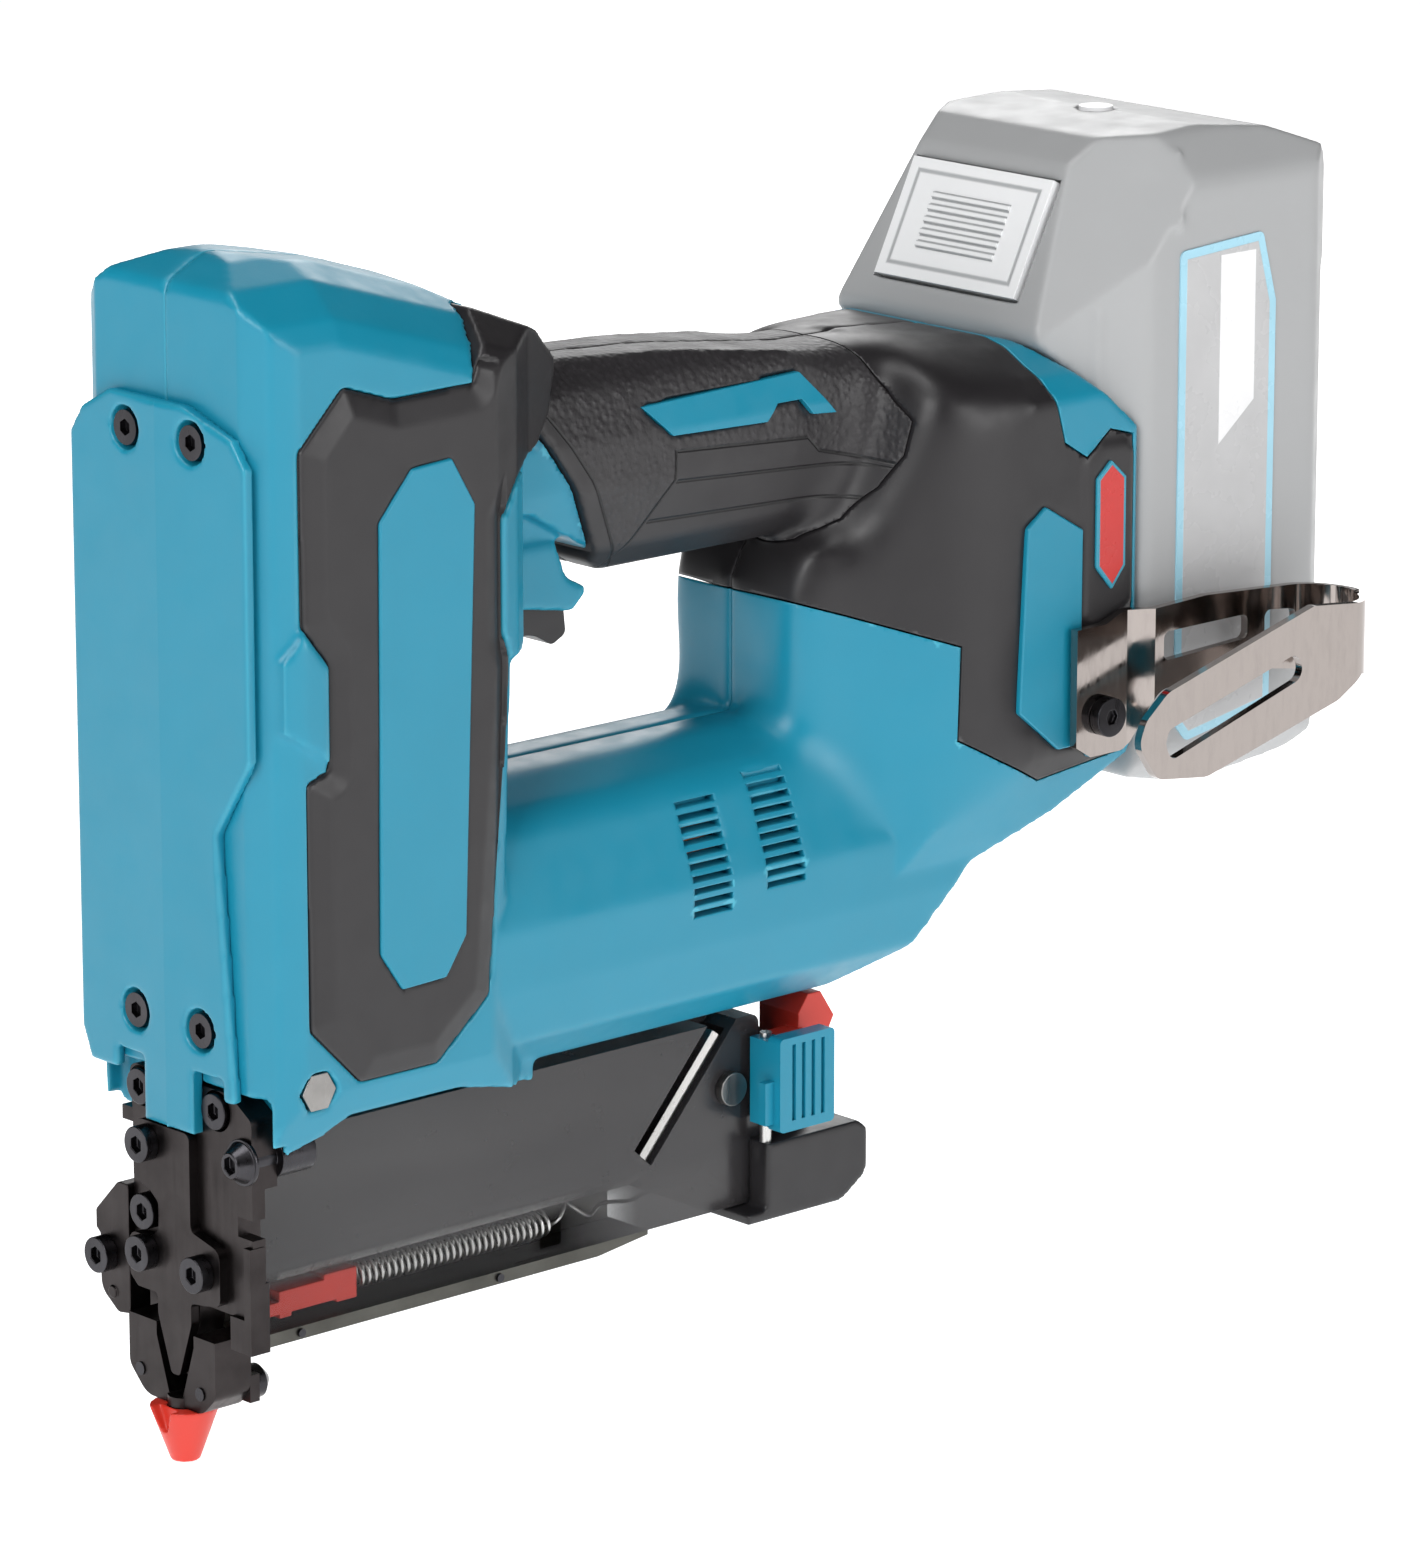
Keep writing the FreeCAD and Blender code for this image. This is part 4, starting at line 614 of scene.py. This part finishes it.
def edge_distance(point, outline):
    """Shortest distance from a (u, v) point to a closed outline, in the outline's own unit."""
    best = 1e9
    for index, start in enumerate(outline):
        end = outline[(index + 1) % len(outline)]
        run = (end[0] - start[0], end[1] - start[1])
        length = run[0] ** 2 + run[1] ** 2
        share = ((point[0] - start[0]) * run[0] + (point[1] - start[1]) * run[1]) / length
        share = min(max(share, 0.0), 1.0)
        best = min(best, math.hypot(point[0] - start[0] - share * run[0],
                                    point[1] - start[1] - share * run[1]))
    return best


def slope_border(piece, outline, width, depth, face):
    """Slopes a proud skin's border down: depth at the outline, nothing width inside it."""
    for vertex in piece.data.vertices:
        across = abs(vertex.co.y) / MM
        if across < face:
            continue
        distance = edge_distance((vertex.co.x / MM, vertex.co.z / MM), outline)
        if distance < width:
            drop = depth * (1 - distance / width) * MM
            vertex.co.y -= math.copysign(drop, vertex.co.y)


# Blocks that fill the near housing's hollows, so that only its outside is made even.
NEAR_FILL = [((4, -19, 77), (55, -0.2, 212)), ((50, -19, 78), (100, -0.2, 116)),
             ((138, -19, 78), (163, -0.2, 116)), ((150, -15, 118), (172, -0.2, 186)),
             ((172, -30, 116), (202, -0.2, 181)), ((62, -10, 167), (171, -0.2, 192)),
             ((73, -11, 156.5), (78, -8, 161.5))]
# Outlines from the side, as (x, z) in millimetres, anticlockwise: the rear cover, the grip and the pad.
SEAM = [(213, 173.6), (207, 175.3), (200.3, 170.5), (194.2, 174.3), (189.9, 189.2), (189, 210),
        (130, 210), (130, 148.2), (140.4, 147.3), (149.4, 144.2), (169.7, 136.7), (169.2, 117.7),
        (177.9, 112.8), (190.3, 106.3), (212.2, 109.2), (213, 111)]
GRIP_RANGE = [(92.8, 155.5), (139, 155.5), (146, 158.2), (152.5, 162.2), (157.5, 168.5),
              (161, 175), (162.8, 181.5), (162.4, 187), (160.6, 192.5), (157.5, 197.5), (153, 202),
              (153, 215), (76, 215), (73.6, 193.7), (84.5, 178.8), (92.8, 163.5)]
SKIN_OUTLINE = [(18.6, 208), (8.3, 197.3), (8.5, 164.5), (14.1, 157.2), (14.1, 136.9), (9, 135),
                (9.2, 88.1), (20.9, 76), (39.5, 76), (52.5, 86.9), (58.6, 150.7), (56.4, 156),
                (56.4, 178.3), (61.5, 184.6), (73.4, 188), (90, 195), (90, 204.5), (70.5, 211.5),
                (57, 216.8), (53, 211.2), (49.5, 204.5), (31.1, 204)]
GRIP_GAP, SEAM_GAP = 0.3, 0.35
# Two groups of ten vents through each flank, between two distances from the tool's middle plane.
VENT_STARTS = [(105.0, 92.0), (124.2, 94.5)]
VENT_COUNT, VENT_PITCH = 10, 2.3
VENT_LENGTH, VENT_HEIGHT = 10, 1.2
VENT_DEPTHS = (-32, -20)


def on_side(low, high, sign):
    """A block of the near side, or mirrored onto the far side where sign is -1."""
    across = sorted((low[1] * sign, high[1] * sign))
    return (low[0], across[0], low[2]), (high[0], across[1], high[2])


def rear_blend(along, across, up):
    """Weight of the long relaxing: the rear block's neck, but not its rim or the barrel."""
    start = 130 + 12 * min(max((up - 151) / 8, 0), 1)
    rise = min(max((along - start) / 12, 0), 1) * min(max((up - 100) / 8, 0), 1)
    return rise * min(max((186 - along) / 8, 0), 1) * min(max((abs(across) - 3) / 4, 0), 1)


for side, sign in (("left", 1), ("right", -1)):
    fillers = [on_side(low, high, sign) for low, high in NEAR_FILL]
    whole = even_mesh("shell_" + side, ["housing_" + side, "rear_cover_" + side, "grip_" + side],
                      voxel=0.8, rounds=3, fillers=fillers, blend=rear_blend)
    cover, grip = whole.copy(), whole.copy()
    for piece, name in ((cover, "rear_shell_"), (grip, "grip_skin_")):
        piece.name = name + side
        piece.data = whole.data.copy()
        bpy.context.scene.collection.objects.link(piece)
    trim(cover, "INTERSECT", slab(SEAM))
    trim(cover, "DIFFERENCE", slab(offset_outline(GRIP_RANGE, GRIP_GAP)))
    trim(grip, "INTERSECT", slab(GRIP_RANGE))
    trim(whole, "DIFFERENCE", slab(offset_outline(SEAM, SEAM_GAP)))
    trim(whole, "DIFFERENCE", slab(offset_outline(GRIP_RANGE, GRIP_GAP)))
    vents = []
    for start_x, start_z in VENT_STARTS:
        for step in range(VENT_COUNT):
            bottom = start_z + VENT_PITCH * step
            vents.append(on_side((start_x, VENT_DEPTHS[0], bottom),
                                 (start_x + VENT_LENGTH, VENT_DEPTHS[1], bottom + VENT_HEIGHT), sign))
    cut_slots(whole, vents)
    stand_in_for(whole, "housing_" + side, TEAL_SHELL)
    stand_in_for(cover, "rear_cover_" + side, BLACK_SHELL)
    stand_in_for(grip, "grip_" + side)
    pad = soften("pad_" + side, "side_pad_" + side, voxel=0.7, rounds=2, material=BLACK_SHELL)
    slope_border(pad, SKIN_OUTLINE, width=4.8, depth=1.4, face=28.3)
soften("cover_panel", "front_cover", voxel=0.6, rounds=3, material=TEAL_SHELL)
# The pack's hollow is filled, and a plate closes the corner at each side of the sloping front.
pack_fill = [((222, -30, 105), (262, 30, 208))]
for sign in (1, -1):
    pack_fill.append(((214.5, 30.8 * sign - 8, 219.6), (230.5, 30.8 * sign + 8, 221.6),
                      (-0.524, 0.731 * sign, 0.438)))
pack = even_mesh("pack_shell", ["battery_case"], voxel=0.9, rounds=3, fillers=pack_fill)
# The latch's seat is cut again, because relaxing rounds its corners into the latch's way.
seat_middle = (204.77, 0, 210.63)
seat_half = (20.6, 13.1, 4.4)
cut_slots(pack, [([at - half for at, half in zip(seat_middle, seat_half)],
                  [at + half for at, half in zip(seat_middle, seat_half)],
                  (-LATCH_UPWARD[1], 0, LATCH_UPWARD[0]))])
stand_in_for(pack, "battery_case")
soften("block_shell", "end_block", voxel=0.6, rounds=3)
soften("nose_cap_piece", "nose_cap", voxel=0.3, rounds=5)

# Each node shown with its sharp edges rounded, and the width of the rounding in millimetres.
BEVELLED = {
    "nameplates": 0.5, "rear_inserts": 0.4, "emblem_plates": 0.3, "grip_bands": 0.3,
    "release_lever": 0.3, "catch": 0.3, "trigger": 0.8, "battery_latch": 0.12,
    "driver_guide": 0.25, "front_plate": 0.25, "side_bracket": 0.2, "contact_foot": 0.25,
    "belt_hook": 0.3, "magazine_rail": 0.2, "nose_screws": 0.2, "boss_screw": 0.2,
    "pusher": 0.25, "housing_screws": 0.15, "head_bolt": 0.2,
    "magazine_body": 0.3, "magazine_bolt": 0.2, "hook_screw": 0.2, "hex_key": 0.1,
}
for node_name, width in BEVELLED.items():
    bevelled(node_name + "_piece", node_name, width)


# ---------------------------------------------------------------- floor, light and camera
def area_light(name, at, towards, size, power):
    """A soft rectangular light that faces a point."""
    light = bpy.data.lights.new(name, "AREA")
    light.shape = "RECTANGLE"
    light.size, light.size_y = size
    light.energy = power
    lamp = bpy.data.objects.new(name, light)
    bpy.context.scene.collection.objects.link(lamp)
    lamp.location = at
    lamp.rotation_euler = (Vector(towards) - Vector(at)).to_track_quat("-Z", "Y").to_euler()


box_low, box_high = cad_box
middle = [(bottom + top) / 2 for bottom, top in zip(box_low, box_high)]

floor_mesh = bpy.data.meshes.new("floor")
bm = bmesh.new()
bmesh.ops.create_grid(bm, x_segments=8, y_segments=8, size=6.0)
bm.to_mesh(floor_mesh)
bm.free()
floor = new_object("floor", floor_mesh)
floor.location = (middle[0], middle[1], box_low[2] - 0.0004)
floor_look = Nodes("floor")
floor_look.link(floor_look.mix(floor_look.noise(3.0), srgb(238, 238, 238), srgb(244, 244, 244)),
                floor_look.shader.inputs["Base Color"])
floor_look.set(Roughness=0.85, Specular_IOR_Level=0.2, Emission_Color=(1.0, 1.0, 1.0, 1.0),
               Emission_Strength=0.92)
paint(floor, floor_look.material)

world = bpy.data.worlds.new("studio")
world.use_nodes = True
sky = world.node_tree
direction = sky.nodes.new("ShaderNodeTexCoord")
height = sky.nodes.new("ShaderNodeSeparateXYZ")
sky.links.new(direction.outputs["Generated"], height.inputs[0])
fade = sky.nodes.new("ShaderNodeMapRange")
fade.inputs["From Min"].default_value = -0.1
fade.inputs["From Max"].default_value = 0.75
fade.inputs["To Min"].default_value = 0.34
fade.inputs["To Max"].default_value = 0.68
sky.links.new(height.outputs["Z"], fade.inputs["Value"])
sky.links.new(fade.outputs["Result"], sky.nodes["Background"].inputs["Strength"])
bpy.context.scene.world = world

area_light("key", (-1.1, -0.5, 0.9), middle, (0.6, 0.9), 13.0)
area_light("fill", (0.5, -1.6, 0.6), middle, (0.8, 0.8), 10.5)
area_light("top", (-0.3, 0.1, 1.5), middle, (1.0, 0.5), 7.0)
area_light("rim", (1.0, 0.9, 0.7), middle, (0.5, 0.8), 4.0)

CAMERA_AT = (-0.8451, -1.0749, 0.4831)
CAMERA_AZIMUTH, CAMERA_ELEVATION = math.radians(-42.34), math.radians(14.42)
CAMERA_LENS = 175.6
camera_data = bpy.data.cameras.new("camera")
camera_data.lens = CAMERA_LENS
camera_data.sensor_width = 36.0
camera_data.clip_end = 50.0
camera = bpy.data.objects.new("camera", camera_data)
bpy.context.scene.collection.objects.link(camera)
camera.location = CAMERA_AT
look = Vector((-math.sin(CAMERA_AZIMUTH) * math.cos(CAMERA_ELEVATION),
               math.cos(CAMERA_AZIMUTH) * math.cos(CAMERA_ELEVATION),
               -math.sin(CAMERA_ELEVATION)))
camera.rotation_euler = look.to_track_quat("-Z", "Y").to_euler()
bpy.context.scene.camera = camera
bpy.context.scene.view_settings.view_transform = "Standard"
